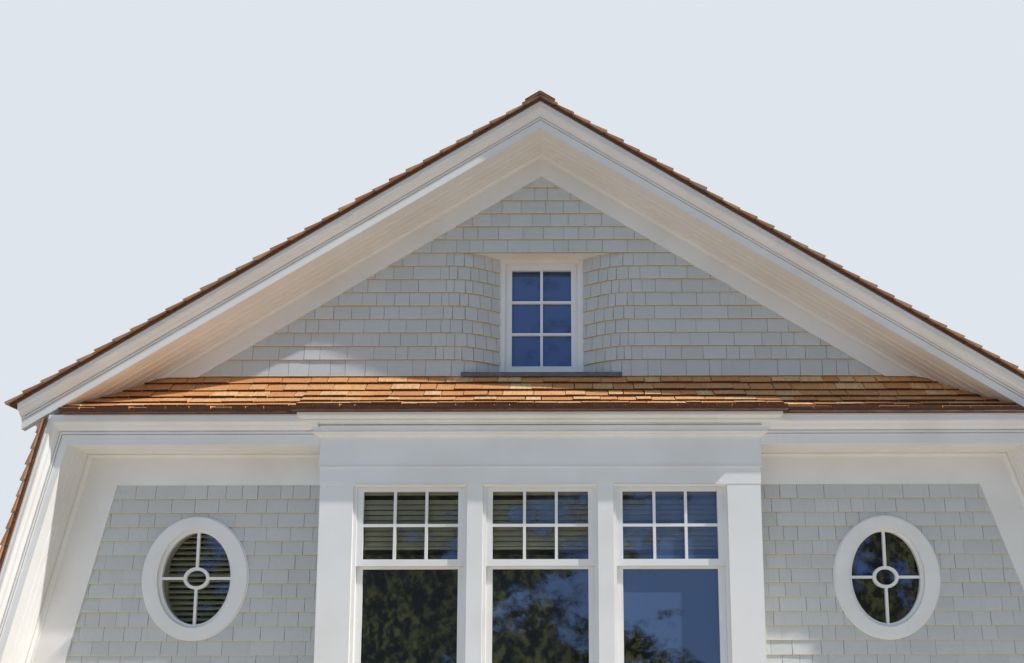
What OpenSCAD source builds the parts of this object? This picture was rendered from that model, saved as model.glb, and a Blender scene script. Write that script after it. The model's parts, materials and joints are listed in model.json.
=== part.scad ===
// Dormer window: the pedimented gambrel gable of a shingled house front, with a
// triple window bay below, a recessed window in the gable and two oval windows.
// All lengths in millimetres. X runs across the front, Y runs back from the wall
// face, Z runs up from the floor line. The front faces -Y.

/* [View] */
// Which piece to draw ("all" draws the whole front)

/* [Building] */
// Wall face to the back of the party wall
building_depth = 3600; // [2400:100:6000]
// Thickness of the outer walls
wall_thick = 180; // [120:10:220]
// Height of the level cornice soffit above the floor line
soffit_height = 2630; // [2500:10:2900]
// Half width of the front at the soffit, left side
left_corner = 3990; // [3900:10:4300]
// Half width of the front at the soffit, right side
right_corner = 4100; // [3900:10:4300]
// Lean of the lower left roof slope from upright
left_lean = 12.75; // [8:0.25:20]
// Lean of the lower right roof slope from upright
right_lean = 18.75; // [8:0.25:22]
// Pitch of the two upper roof slopes
gable_pitch = 32; // [28:0.5:36]
// Level soffit up to the raking soffit over the left corner
knee_rise = 360; // [330:2:420]
// Thickness of the floor deck
floor_thick = 180; // [120:10:240]
// Thickness of the attic floor
attic_floor_thick = 200; // [120:10:260]

/* [Cornice] */
// Wall face to the face of the fascia
fascia_reach = 420; // [350:5:480]
// Wall face to the face of the raking fascia
rake_reach = 455; // [420:5:500]
// Fascia face to the tip of the crown moulding
crown_reach = 84; // [60:2:110]
// Height of the fascia on the level cornice
fascia_height = 75; // [50:5:90]
// Height of the crown moulding on the level cornice
crown_height = 162; // [120:2:190]
// Depth of the grooves between a fascia and its crown
crown_groove = 14; // [8:1:20]
// Raking mouldings against the level ones
rake_ratio = 0.72; // [0.6:0.01:0.8]
// Depth of the level frieze below the soffit
frieze_depth = 270; // [200:5:320]
// Width of the frieze along the lower slopes
lower_frieze_width = 308; // [220:2:340]
// Width of the frieze along the upper slopes
rake_frieze_width = 182; // [160:2:260]
// Thickness of the frieze boards
frieze_thick = 28; // [20:1:40]
// Size of the bed moulding under the soffit
bed_size = 38; // [30:1:60]
// Thickness of the soffit boards
soffit_thick = 20; // [15:1:30]
// Thickness of the front members behind the fascia face
cornice_back = 60; // [40:5:80]

/* [Roof] */
// Thickness of the shingled skin
skin_thick = 50; // [35:1:70]
// Wall face to the front edge of the lower roof skin
skin_reach = 560; // [530:5:600]
// Lower roof skin out to the tip of the eave crown
eave_reach = 208; // [160:1:260]
// Eave crown tip back to the inside of the eave
eave_depth = 140; // [125:5:150]
// Roof skin past the eave crown
eave_overhang = 70; // [30:5:100]
// Width of the ridge cap on each slope
cap_width = 150; // [100:5:200]
// Thickness of the ridge cap
cap_thick = 22; // [15:1:40]
// Rise of the pent roof from the cornice to the wall
pent_rise = 515; // [400:5:560]
// Butt thickness at the pent eave
pent_butt = 28; // [15:1:40]
// Thickness of the pent roof
pent_thick = 55; // [40:1:80]

/* [Bay] */
// Half width of the bay
bay_half = 1850; // [1700:10:2000]
// Wall face to the face of the bay
bay_reach = 400; // [340:5:420]
// Width of a corner board
corner_board = 280; // [200:5:320]
// Thickness of the bay side walls
bay_side = 100; // [60:5:120]
// Thickness of the bay's boards
bay_board = 50; // [35:1:60]
// Depth of the window frames and mullions
frame_depth = 130; // [115:1:150]
// Width of a mullion
mullion_width = 130; // [100:2:160]
// Centre of a mullion from the middle of the bay
mullion_offset = 547; // [500:1:600]
// Height of the sill top
sill_height = 560; // [450:10:800]
// Level soffit down to the window heads
head_drop = 341; // [300:1:400]
// Level soffit up to the bay cornice soffit
bay_rise = 90; // [60:5:100]
// Bay frieze face to the bay fascia face
bay_fascia_reach = 50; // [30:2:70]
// Bay fascia face to the bay crown tip
bay_crown_reach = 110; // [80:2:120]
// Height of the bay fascia
bay_fascia_height = 55; // [40:1:70]

/* [Windows] */
// Width of the window frame at each jamb
jamb_width = 28; // [20:1:40]
// Width of a sash stile
stile_width = 52; // [40:1:70]
// Height of the upper sash glass
upper_glass = 576; // [450:1:640]
// Width of a glazing bar
bar_width = 24; // [16:1:32]
// Thickness of a sash
sash_thick = 40; // [30:1:50]
// Thickness of the glass
glass_thick = 6; // [4:1:10]

/* [Gable window] */
// Half width of the recess at the wall face
recess_half = 710; // [600:5:760]
// Top of the pent roof up to the recess floor
recess_rise = 5; // [5:1:60]
// Height of the recess
recess_height = 1150; // [1000:5:1200]
// Depth of the recess to the casing face
recess_depth = 162; // [120:2:170]
// Half width of the casing
gable_casing_half = 392; // [350:2:420]
// Width of the casing
gable_casing_width = 54; // [40:2:70]
// Width of the sash stiles and rails
gable_stile = 62; // [45:1:75]
// Recess floor up to the bottom of the sash
gable_foot = 64; // [40:2:90]
// Recess head down to the top of the sash
gable_head = 30; // [20:2:60]
// Depth of the gable window frame
gable_frame_depth = 80; // [60:5:120]

/* [Oval windows] */
// Centre of an oval from the middle of the front
oval_offset = 3005; // [2900:5:3100]
// Level soffit down to the oval centres
oval_drop = 1092; // [1000:1:1200]
// Half width of the oval glass
oval_glass_x = 299; // [240:1:330]
// Half height of the oval glass
oval_glass_z = 402; // [320:1:430]
// Width of the oval sash ring
oval_sash = 30; // [20:1:40]
// Half width of the small ring where the oval bars meet
oval_ring_x = 113; // [80:1:180]
// Half height of the small ring
oval_ring_z = 97; // [70:1:180]
// Width of the small ring's own band
oval_ring = 28; // [20:1:40]
// Width of the oval casing
oval_casing = 136; // [100:1:150]
// Thickness of the oval casing in front of the wall
oval_casing_thick = 35; // [20:1:50]
// Casing narrower above and below the oval by
oval_casing_less = 24; // [0:1:40]

/* [Hidden] */

LEFT = -1;
RIGHT = 1;
paint = [0.93, 0.92, 0.89];
wall_paint = [0.66, 0.70, 0.75];
cedar = [0.55, 0.38, 0.22];
timber = [0.72, 0.60, 0.44];
metal = [0.30, 0.27, 0.29];
pane = [0.45, 0.55, 0.62, 0.5];

level_height = fascia_height + crown_height;
rake_height = level_height * rake_ratio;
cornice_inner = fascia_reach - cornice_back;
rake_inner = rake_reach - cornice_back;
rake_skin_reach = skin_reach + rake_reach - fascia_reach;
gable_sash_half = gable_casing_half - gable_casing_width;
recess_back = max(wall_thick, recess_depth + 10);
level_top = soffit_height + level_height;
wall_top = soffit_height + 60;
apex_height = soffit_height + knee_rise + left_corner * tan(gable_pitch);
pent_top = level_top + pent_rise;
head_height = soffit_height - head_drop;
bay_soffit = soffit_height + bay_rise;
recess_floor = pent_top + recess_rise;
recess_head = recess_floor + recess_height;
oval_height = soffit_height - oval_drop;
frieze_face = bay_reach + 10;
bay_inner = bay_half - bay_side;
bay_frieze_half = bay_half + 10;
bay_crown_half = bay_frieze_half + bay_fascia_reach + bay_crown_reach;
pent_bay_half = bay_crown_half + 35;
pent_bay_reach = frieze_face + bay_fascia_reach + bay_crown_reach + 55;
bay_level = level_top - bay_soffit;
opening_half = mullion_offset - mullion_width / 2;
side_open_from = mullion_offset + mullion_width / 2;
side_open_to = bay_half - corner_board;
glass_top = head_height - 54;
meet_top = glass_top - upper_glass;
far = 9000;

// Half width of the front at height z, on the inner line of the lower fascia
function lean(s) = s < 0 ? left_lean : right_lean;
function corner(s) = s < 0 ? left_corner : right_corner;
// Half width of the upper roof at the tip and at the inside of its eave
function eave(s) = knee_x(s, rake_height + skin_thick) + eave_reach;
function eave_in(s) = eave(s) - eave_depth;
function slope_x(s, z) = corner(s) + (soffit_height - z) * tan(lean(s));
// Height of the raking soffit plane at half width x, raised by h square to it
function rake_z(x, h = 0) = apex_height - abs(x) * tan(gable_pitch) + h / cos(gable_pitch);
// Where the upper soffit plane crosses the lower slope line moved out by h
function knee_x(s, h = 0) =
    let (k = tan(gable_pitch) * tan(lean(s)))
    (corner(s) + h / cos(lean(s)) - (apex_height - soffit_height) * tan(lean(s))) / (1 - k);
// Corner point a above the soffit line and b outside the lower slope line
function mitre(s, a, b) = [s * (slope_x(s, soffit_height + a) + b / cos(lean(s))), soffit_height + a];

// Outline of the inside of the roofs, down to height z0
function room_outline(z0 = 0) = [[-slope_x(LEFT, z0), z0], [slope_x(RIGHT, z0), z0],
    [knee_x(RIGHT), rake_z(knee_x(RIGHT))], [0, apex_height], [-knee_x(LEFT), rake_z(knee_x(LEFT))]];

// S curve of a crown moulding from (x0, z0) to (x1, z1)
function cyma(x0, z0, x1, z1, n = 12) = [for (i = [0:n])
    let (f = i / n) [x0 + (x1 - x0) * (f + 0.75 * sin(360 * f) / (2 * PI)), z0 + (z1 - z0) * f]];
// Curve with one control point
function bend(p, q, r, n = 14) = [for (i = [0:n])
    let (f = i / n) p * pow(1 - f, 2) + q * 2 * f * (1 - f) + r * pow(f, 2)];
function oval(a, b, n = 72) = [for (i = [0:n - 1]) [a * cos(360 * i / n), b * sin(360 * i / n)]];

// Crown and fascia section: out from the wall, up from the soffit. The fascia face
// stands at reach and k is the height scale
function cornice_section(k, reach) =
    let (tip = reach + crown_reach, inner = reach - cornice_back) concat(
    [[inner, 0], [reach, 0], [reach, fascia_height * k]],
    [for (p = [[5, 0], [5, 7], [7 - crown_groove, 7], [7 - crown_groove, 16], [12, 16], [12, 32],
               [16 - crown_groove, 32], [16 - crown_groove, 41], [18, 41]])
        [reach + p[0], (fascia_height + p[1]) * k]],
    cyma(reach + 18, (fascia_height + 45) * k, tip - 9, (fascia_height + crown_height - 62) * k),
    [[tip - 9, (level_height - 56) * k], [tip - 4, (level_height - 56) * k],
     [tip - 4, (level_height - 17) * k], [tip, (level_height - 17) * k],
     [tip, level_height * k], [inner, level_height * k]]);
// Bed moulding section under the soffit
bed_points = concat([[frieze_thick - 6, 0], [frieze_thick - 6, -bed_size], [frieze_thick + 6, -bed_size]],
    [for (i = [0:8]) let (a = 90 * i / 8)
        [frieze_thick + 6 + (bed_size - 12) * (1 - cos(a)), -bed_size + 5 + (bed_size - 12) * sin(a)]],
    [[frieze_thick + bed_size, -7], [frieze_thick + bed_size, 0]]);
// Bay crown, fascia and bed moulding section, measured like the level cornice
bay_points = concat(
    [[cornice_inner, 0], [frieze_face, 0], [frieze_face, -33], [frieze_face + 6, -33]],
    [for (i = [0:6]) let (a = 15 * i)
        [frieze_face + 6 + 30 * (1 - cos(a)), -28 + 22 * sin(a)]],
    [[frieze_face + bay_fascia_reach - 8, -6], [frieze_face + bay_fascia_reach - 8, 0],
     [frieze_face + bay_fascia_reach, 0], [frieze_face + bay_fascia_reach, bay_fascia_height],
     [frieze_face + bay_fascia_reach + 5, bay_fascia_height],
     [frieze_face + bay_fascia_reach + 5, bay_fascia_height + 5]],
    [for (p = [[7 - crown_groove, 5], [7 - crown_groove, 13], [10, 13], [10, 19]])
        [frieze_face + bay_fascia_reach + p[0], bay_fascia_height + p[1]]],
    cyma(frieze_face + bay_fascia_reach + 14, bay_fascia_height + 22,
        frieze_face + bay_fascia_reach + bay_crown_reach - 6, bay_level - 30),
    [[frieze_face + bay_fascia_reach + bay_crown_reach - 6, bay_level - 25],
     [frieze_face + bay_fascia_reach + bay_crown_reach, bay_level - 25],
     [frieze_face + bay_fascia_reach + bay_crown_reach, bay_level], [cornice_inner, bay_level]]);

// Outer line of the pent roof for a given reach
function pent_line(reach) = bend([0, pent_top], [reach * 0.41, pent_top - (pent_top - level_top) * 0.66],
    [reach, level_top + pent_butt]);
function pent_under(reach) = bend([0, pent_top - pent_thick * 1.45],
    [reach * 0.41 - 30, pent_top - (pent_top - level_top) * 0.66 - pent_thick],
    [reach - 120, level_top]);
function reversed(v) = [for (i = [len(v) - 1:-1:0]) v[i]];

// Section drawn as [out from the wall, up] and run along X
module bar(section, length) {
    rotate([90, 0, -90]) linear_extrude(length, center = true) polygon(section);
}

// Outline drawn as [x, z] and run from y0 to y1
module prism(outline, y0, y1) {
    translate([0, y1, 0]) rotate([90, 0, 0]) linear_extrude(y1 - y0) polygon(outline);
}

module box(x0, x1, y0, y1, z0, z1) {
    translate([x0, y0, z0]) cube([x1 - x0, y1 - y0, z1 - z0]);
}

module copy_mirror() {
    children();
    mirror([1, 0, 0]) children();
}

// Bar whose soffit edge follows one upper slope, cut at the ridge
module raked(s, section, x_end) {
    intersection() {
        translate([0, 0, apex_height]) rotate([0, s * gable_pitch, 0]) bar(section, 2 * far);
        prism([[0, 0], [s * x_end, 0], [s * x_end, far], [0, far]], -far, far);
    }
}

// Section carried through a row of stations, each a list of [x, y, z]
module swept(stations) {
    n = len(stations[0]);
    last = (len(stations) - 1) * n;
    polyhedron([for (station = stations) each station], concat(
        [[for (i = [0:n - 1]) i]], [[for (i = [n - 1:-1:0]) last + i]],
        [for (k = [0:len(stations) - 2]) for (i = [0:n - 1])
            [k * n + i, (k + 1) * n + i, (k + 1) * n + (i + 1) % n, k * n + (i + 1) % n]]));
}

// Section run level from the bay, turned down the lower slope at scale k, down to the base
module turned(s, section, k) {
    stations = [
        [for (p = section) [s * bay_frieze_half, -p[0], soffit_height + p[1]]],
        [for (p = section) let (m = mitre(s, p[1], p[1] * k)) [m[0], -p[0], m[1]]],
        [for (p = section) [s * (slope_x(s, 0) + p[1] * k / cos(lean(s))), -p[0], 0]]];
    swept(s < 0 ? stations : reversed(stations));
}

// Band square to an upper slope between heights h0 and h1, out to half width x_end
function upper_band(s, h0, h1, x_end) = [[0, rake_z(0, h0)], [s * x_end, rake_z(x_end, h0)],
    [s * x_end, rake_z(x_end, h1)], [0, rake_z(0, h1)]];

// Band square to a lower slope between offsets h0 and h1, up to the upper soffit plane
function lower_band(s, h0, h1) = [
    [s * (slope_x(s, 0) + h0 / cos(lean(s))), 0], [s * (slope_x(s, 0) + h1 / cos(lean(s))), 0],
    [s * knee_x(s, h1), rake_z(knee_x(s, h1))], [s * knee_x(s, h0), rake_z(knee_x(s, h0))]];

// Everything below the pent roof surface
module pent_mass(reach, half) {
    bar(concat([[-10, 0], [-10, pent_top]], pent_line(reach), [[reach, 0]]), 2 * half);
}

module pent_cut() {
    pent_mass(skin_reach, far);
    pent_mass(pent_bay_reach, pent_bay_half);
}

// Floors and walls

module floor_deck() {
    color(timber) {
        box(-bay_inner, bay_inner, -bay_reach + frame_depth, wall_thick, 0, floor_thick);
        prism([[-slope_x(LEFT, 0), 0], [slope_x(RIGHT, 0), 0],
            [slope_x(RIGHT, floor_thick), floor_thick], [-slope_x(LEFT, floor_thick), floor_thick]],
            wall_thick, building_depth - wall_thick);
    }
}

module front_wall(s) {
    color(wall_paint) difference() {
        prism([[s * bay_inner, 0], [s * slope_x(s, 0), 0],
            [s * slope_x(s, wall_top), wall_top], [s * bay_inner, wall_top]], 0, wall_thick);
        translate([s * oval_offset, 0, oval_height])
            prism(oval(oval_glass_x + oval_sash, oval_glass_z + oval_sash), -10, wall_thick + 10);
    }
}

module front_wall_left() front_wall(LEFT);
module front_wall_right() front_wall(RIGHT);

module party_wall() {
    color(wall_paint) prism(room_outline(), building_depth - wall_thick, building_depth);
}

module attic_floor() {
    attic_top = soffit_height + attic_floor_thick;
    color(timber) {
        intersection() {
            box(-far, far, wall_thick, building_depth - wall_thick, soffit_height, attic_top);
            prism(room_outline(), -far, far);
        }
        box(-bay_inner, bay_inner, -bay_reach + bay_board, wall_thick, soffit_height, wall_top);
    }
}

// Bay

module bay_apron() {
    panel_half = opening_half - 60;
    color(paint) difference() {
        box(-side_open_to, side_open_to, -bay_reach + 15, -bay_reach + frame_depth, 0, sill_height - 40);
        for (x = [-1, 0, 1])
            translate([x * (side_open_from + side_open_to) / 2, 0, 0])
                box(-panel_half, panel_half, -bay_reach, -bay_reach + 30, 110, sill_height - 100);
    }
}

module bay_corner_boards() {
    color(paint) copy_mirror() {
        box(side_open_to, bay_half, -bay_reach, -bay_reach + bay_board, 0, head_height);
        box(bay_inner, bay_half, -bay_reach, 0, 0, head_height);
    }
}

module bay_mullions() {
    color(paint) copy_mirror()
        box(opening_half, side_open_from, -bay_reach, -bay_reach + frame_depth, sill_height, head_height);
}

module bay_frieze() {
    band = (head_height + bay_soffit) / 2 - 72;
    color(paint) {
        difference() {
            box(-bay_frieze_half, bay_frieze_half, -frieze_face, 0, band, bay_soffit);
            box(-bay_inner, bay_inner, -bay_reach + bay_board, 10, band - 10, bay_soffit + 10);
        }
        difference() {
            box(-bay_half - 4, bay_half + 4, -bay_reach - 4, 0, head_height, band);
            box(-bay_inner, bay_inner, -bay_reach + bay_board, 10, head_height - 10, band + 10);
        }
        difference() {
            box(-bay_frieze_half - 6, bay_frieze_half + 6, -frieze_face - 6, 0, band, band + 10);
            box(-bay_inner, bay_inner, -bay_reach + bay_board, 10, band - 10, band + 20);
        }
    }
}

module bay_cornice() {
    front_y = frieze_face + bay_fascia_reach + bay_crown_reach;
    base_half = bay_frieze_half - frieze_face;
    color(paint) translate([0, 0, bay_soffit]) {
        intersection() {
            bar(bay_points, 2 * bay_crown_half);
            translate([0, 0, -far / 2]) linear_extrude(far) polygon([[-base_half, 0], [base_half, 0],
                [base_half + front_y + 10, -front_y - 10], [-base_half - front_y - 10, -front_y - 10]]);
        }
        copy_mirror() difference() {
            intersection() {
                translate([base_half, 0, 0]) rotate([0, 0, 90]) bar(bay_points, 2 * far);
                translate([0, 0, -far / 2]) linear_extrude(far) polygon([
                    [base_half + cornice_inner, -cornice_inner], [base_half + front_y + 10, -cornice_inner],
                    [base_half + front_y + 10, -front_y - 10]]);
            }
            translate([0, 0, soffit_height - bay_soffit]) bar(cornice_section(1, fascia_reach), 2 * far);
        }
    }
}

// Window frame with its sill, for one opening
module frame(x0, x1) {
    difference() {
        box(x0, x1, -bay_reach + 30, -bay_reach + frame_depth, sill_height, head_height);
        box(x0 + jamb_width, x1 - jamb_width, -bay_reach, -bay_reach + frame_depth + 10,
            sill_height - 10, head_height - 10);
    }
}

module bay_frames() {
    color(paint) {
        frame(-opening_half, opening_half);
        frame(side_open_from, side_open_to);
        frame(-side_open_to, -side_open_from);
        box(-side_open_to, side_open_to, -bay_reach - 45, -bay_reach + frame_depth, sill_height - 40, sill_height);
    }
}

// Sash of outer size w by h in the XZ plane, centred on x, with glazing bars
module sash(w, h, stile, top, bottom, cols, rows) {
    inner_w = w - 2 * stile;
    inner_h = h - top - bottom;
    difference() {
        box(-w / 2, w / 2, 0, sash_thick, 0, h);
        box(-inner_w / 2, inner_w / 2, -1, sash_thick + 1, bottom, h - top);
    }
    if (cols > 1) for (i = [1:cols - 1])
        translate([-inner_w / 2 + i * inner_w / cols, 0, 0])
            box(-bar_width / 2, bar_width / 2, 6, sash_thick - 8, bottom - 1, h - top + 1);
    if (rows > 1) for (i = [1:rows - 1])
        translate([0, 0, bottom + i * inner_h / rows])
            box(-inner_w / 2 - 1, inner_w / 2 + 1, 6, sash_thick - 8, -bar_width / 2, bar_width / 2);
}

bay_centres = [-(side_open_from + side_open_to) / 2, 0, (side_open_from + side_open_to) / 2];
bay_widths = [side_open_to - side_open_from, 2 * opening_half, side_open_to - side_open_from];
upper_y = -bay_reach + 45;
lower_y = upper_y + sash_thick + 3;
upper_bottom = meet_top - 56;
lower_top = meet_top - 14;

module bay_upper_sashes() {
    color(paint) for (i = [0:2]) translate([bay_centres[i], upper_y, upper_bottom])
        sash(bay_widths[i] - 2 * jamb_width, head_height - 10 - upper_bottom, stile_width, 44, 56, 3, 2);
}

module bay_lower_sashes() {
    color(paint) for (i = [0:2]) translate([bay_centres[i], lower_y, sill_height])
        sash(bay_widths[i] - 2 * jamb_width, lower_top - sill_height, stile_width, 65, 90, 1, 1);
}

// Glass pane in a sash, held inside its rebate
module sheet(w, z0, z1, y) {
    box(-w / 2, w / 2, y, y + glass_thick, z0, z1);
}

module bay_glass() {
    color(pane) for (i = [0:2]) translate([bay_centres[i], 0, 0]) {
        glass_width = bay_widths[i] - 2 * jamb_width - 2 * stile_width;
        sheet(glass_width, meet_top, glass_top, upper_y + sash_thick - 8);
        sheet(glass_width, sill_height + 90, lower_top - 65, lower_y + sash_thick / 2);
    }
}

// Oval windows

module oval_casing(s) {
    a = oval_glass_x + oval_sash;
    b = oval_glass_z + oval_sash;
    color(paint) translate([s * oval_offset, 0, oval_height]) difference() {
        union() {
            prism(oval(a + oval_casing - 12, b + oval_casing - 12 - oval_casing_less), -oval_casing_thick, 0);
            prism(oval(a + oval_casing, b + oval_casing - oval_casing_less), -oval_casing_thick + 12, 0);
        }
        prism(oval(a, b), -oval_casing_thick - 1, 1);
    }
}

module oval_casing_left() oval_casing(LEFT);
module oval_casing_right() oval_casing(RIGHT);

module oval_sash_ring(a, b, width, y0, y1) {
    difference() {
        prism(oval(a, b), y0, y1);
        prism(oval(a - width, b - width), y0 - 1, y1 + 1);
    }
}

module oval_sash(s) {
    a = oval_glass_x + oval_sash;
    b = oval_glass_z + oval_sash;
    color(paint) translate([s * oval_offset, 0, oval_height]) {
        oval_sash_ring(a, b, oval_sash, -4, 44);
        oval_sash_ring(oval_ring_x, oval_ring_z, oval_ring, 2, 30);
        difference() {
            union() {
                box(-oval_glass_x - 2, oval_glass_x + 2, 4, 28, -bar_width / 2, bar_width / 2);
                box(-bar_width / 2, bar_width / 2, 4, 28, -oval_glass_z - 2, oval_glass_z + 2);
            }
            prism(oval(oval_ring_x - oval_ring / 2, oval_ring_z - oval_ring / 2), 0, 40);
        }
    }
}

module oval_sash_left() oval_sash(LEFT);
module oval_sash_right() oval_sash(RIGHT);

module oval_glass() {
    color(pane) for (s = [LEFT, RIGHT]) translate([s * oval_offset, 0, oval_height])
        prism(oval(oval_glass_x, oval_glass_z), 30, 30 + glass_thick);
}

module oval_shutter() {
    half_w = oval_glass_x + oval_sash + 30;
    half_h = oval_glass_z + oval_sash + 30;
    slats = 17;
    color(paint) translate([LEFT * oval_offset, wall_thick, oval_height]) {
        difference() {
            box(-half_w, half_w, 0, 34, -half_h, half_h);
            box(-half_w + 40, half_w - 40, -1, 35, -half_h + 40, half_h - 40);
        }
        for (i = [0:slats - 1])
            translate([0, 17, -half_h + 40 + (i + 0.5) * (2 * half_h - 80) / slats])
                rotate([35, 0, 0]) box(-half_w + 38, half_w - 38, -20, 20, -4, 4);
    }
}

// Gable wall and its window

module gable_wall() {
    color(wall_paint) difference() {
        prism(room_outline(wall_top), 0, wall_thick);
        box(-recess_half - 60, recess_half + 60, -10, wall_thick + 10, recess_floor - 40, recess_head + 30);
    }
}

// Plan of one cheek, curving from the wall face into the recess
cheek_plan = concat(bend([recess_half + 60, 0], [recess_half - 70, 0], [gable_casing_half, recess_depth]),
    [[gable_casing_half, recess_back], [recess_half + 60, recess_back]]);

module recess_cheeks() {
    color(wall_paint) copy_mirror() translate([0, 0, recess_floor])
        linear_extrude(recess_head - recess_floor) polygon(cheek_plan);
}

module recess_soffit() {
    color(paint) box(-recess_half - 60, recess_half + 60, 0, recess_back, recess_head, recess_head + 30);
}

module gable_casing() {
    color(paint) difference() {
        box(-gable_casing_half, gable_casing_half, recess_depth, recess_depth + gable_frame_depth,
            recess_floor, recess_head);
        box(-gable_sash_half, gable_sash_half, recess_depth - 1, recess_depth + gable_frame_depth + 1,
            recess_floor + gable_foot, recess_head - gable_head);
    }
}

module gable_sash() {
    color(paint) translate([0, recess_depth + 30, recess_floor + gable_foot])
        sash(2 * gable_sash_half, recess_head - recess_floor - gable_foot - gable_head,
            gable_stile, gable_stile, gable_stile, 2, 3);
}

module gable_glass() {
    color(pane) sheet(2 * (gable_sash_half - gable_stile),
        recess_floor + gable_foot + gable_stile, recess_head - gable_head - gable_stile,
        recess_depth + 30 + sash_thick - 8);
}

module gable_flashing() {
    flash_half = recess_half + 10;
    color(metal) {
        box(-recess_half - 60, recess_half + 60, 0, recess_back, recess_floor - 40, recess_floor);
        difference() {
            box(-flash_half, flash_half, -30, 0, recess_floor - 40, recess_floor);
            pent_mass(pent_bay_reach, pent_bay_half);
        }
    }
}

// Roof

module upper_roof() {
    color(timber) prism(concat([[0, apex_height]],
        [for (p = [[eave_in(RIGHT), 0], [eave_in(RIGHT), rake_height], [0, rake_height]])
            [p[0], rake_z(p[0], p[1])]],
        [for (p = [[eave_in(LEFT), rake_height], [eave_in(LEFT), 0]]) [-p[0], rake_z(p[0], p[1])]]),
        0, building_depth);
}

module upper_shingles(s) {
    color(cedar) prism(upper_band(s, rake_height, rake_height + skin_thick, eave(s) + eave_overhang),
        -rake_skin_reach, building_depth);
}

module upper_shingles_left() upper_shingles(LEFT);
module upper_shingles_right() upper_shingles(RIGHT);

module ridge_cap() {
    top = rake_height + skin_thick;
    color(cedar) prism([[0, rake_z(0, top)], [cap_width, rake_z(cap_width, top)],
        [cap_width, rake_z(cap_width, top + cap_thick)], [0, rake_z(0, top + cap_thick)],
        [-cap_width, rake_z(cap_width, top + cap_thick)], [-cap_width, rake_z(cap_width, top)]],
        -rake_skin_reach - 8, building_depth);
}

module lower_slope(s) {
    color(timber) prism(lower_band(s, 0, rake_height), 0, building_depth);
}

module lower_slope_left() lower_slope(LEFT);
module lower_slope_right() lower_slope(RIGHT);

module lower_shingles(s) {
    color(cedar) prism(lower_band(s, rake_height, rake_height + skin_thick), -skin_reach, building_depth);
}

module lower_shingles_left() lower_shingles(LEFT);
module lower_shingles_right() lower_shingles(RIGHT);

// Cornices

module rake_cornice() {
    color(paint) for (s = [LEFT, RIGHT]) raked(s, cornice_section(rake_ratio, rake_reach), eave(s));
}

module rake_soffit() {
    color(paint) difference() {
        for (s = [LEFT, RIGHT])
            raked(s, [[0, 0], [rake_inner, 0], [rake_inner, soffit_thick], [0, soffit_thick]], eave_in(s));
        pent_cut();
    }
}

module rake_frieze() {
    color(paint) difference() {
        for (s = [LEFT, RIGHT]) {
            raked(s, [[0, -rake_frieze_width], [frieze_thick, -rake_frieze_width], [frieze_thick, 0], [0, 0]],
                knee_x(s));
            raked(s, bed_points, knee_x(s));
        }
        pent_cut();
    }
}

module side_cornice(s) {
    color(paint) turned(s, cornice_section(1, fascia_reach), rake_ratio);
}

module side_cornice_left() side_cornice(LEFT);
module side_cornice_right() side_cornice(RIGHT);

module side_soffits() {
    color(paint) for (s = [LEFT, RIGHT])
        prism([[s * bay_frieze_half, soffit_height], mitre(s, 0, 0), [s * slope_x(s, 0), 0],
            [s * (slope_x(s, 0) + soffit_thick / cos(lean(s))), 0], mitre(s, soffit_thick, soffit_thick),
            [s * bay_frieze_half, soffit_height + soffit_thick]], -cornice_inner, 0);
}

module side_frieze(s) {
    inner = mitre(s, -frieze_depth, -lower_frieze_width);
    color(paint) {
        prism([[s * bay_frieze_half, soffit_height - frieze_depth], inner,
            [s * (slope_x(s, 0) - lower_frieze_width / cos(lean(s))), 0], [s * slope_x(s, 0), 0],
            mitre(s, 0, 0), [s * bay_frieze_half, soffit_height]], -frieze_thick, 0);
        turned(s, bed_points, 1);
    }
}

module side_frieze_left() side_frieze(LEFT);
module side_frieze_right() side_frieze(RIGHT);

module eave_returns() {
    color(paint) for (s = [LEFT, RIGHT]) {
        low = rake_z(eave(s)) - 6;
        top = rake_z(eave(s), rake_height);
        face = eave(s) - crown_reach - 12;
        outline = concat(
            [[eave_in(s), rake_z(eave_in(s), rake_height)], [eave_in(s), low], [face, low],
             [face, low + 46], [face + 7, low + 46]],
            cyma(face + 12, low + 52, eave(s) - 6, top - 44),
            [[eave(s) - 6, top - 38], [eave(s), top - 38], [eave(s), top]]);
        prism([for (p = outline) [s * p[0], p[1]]], -rake_inner, building_depth);
    }
}

module pent_roof() {
    color(cedar) intersection() {
        union() {
            for (s = [LEFT, RIGHT]) translate([s * (far + pent_bay_half) / 2 - s * 3, 0, 0])
                bar(concat(pent_line(skin_reach), [[skin_reach - 3, level_top]],
                    reversed(pent_under(skin_reach))), far - pent_bay_half + 6);
            bar(concat(pent_line(pent_bay_reach), [[pent_bay_reach - 3, level_top]],
                reversed(pent_under(pent_bay_reach))), 2 * pent_bay_half);
        }
        prism([[-slope_x(LEFT, level_top) - rake_height / cos(left_lean), level_top],
            [slope_x(RIGHT, level_top) + rake_height / cos(right_lean), level_top],
            [knee_x(RIGHT, rake_height), rake_z(knee_x(RIGHT, rake_height))], [0, apex_height],
            [-knee_x(LEFT, rake_height), rake_z(knee_x(LEFT, rake_height))]], -far, 0);
    }
}

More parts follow.
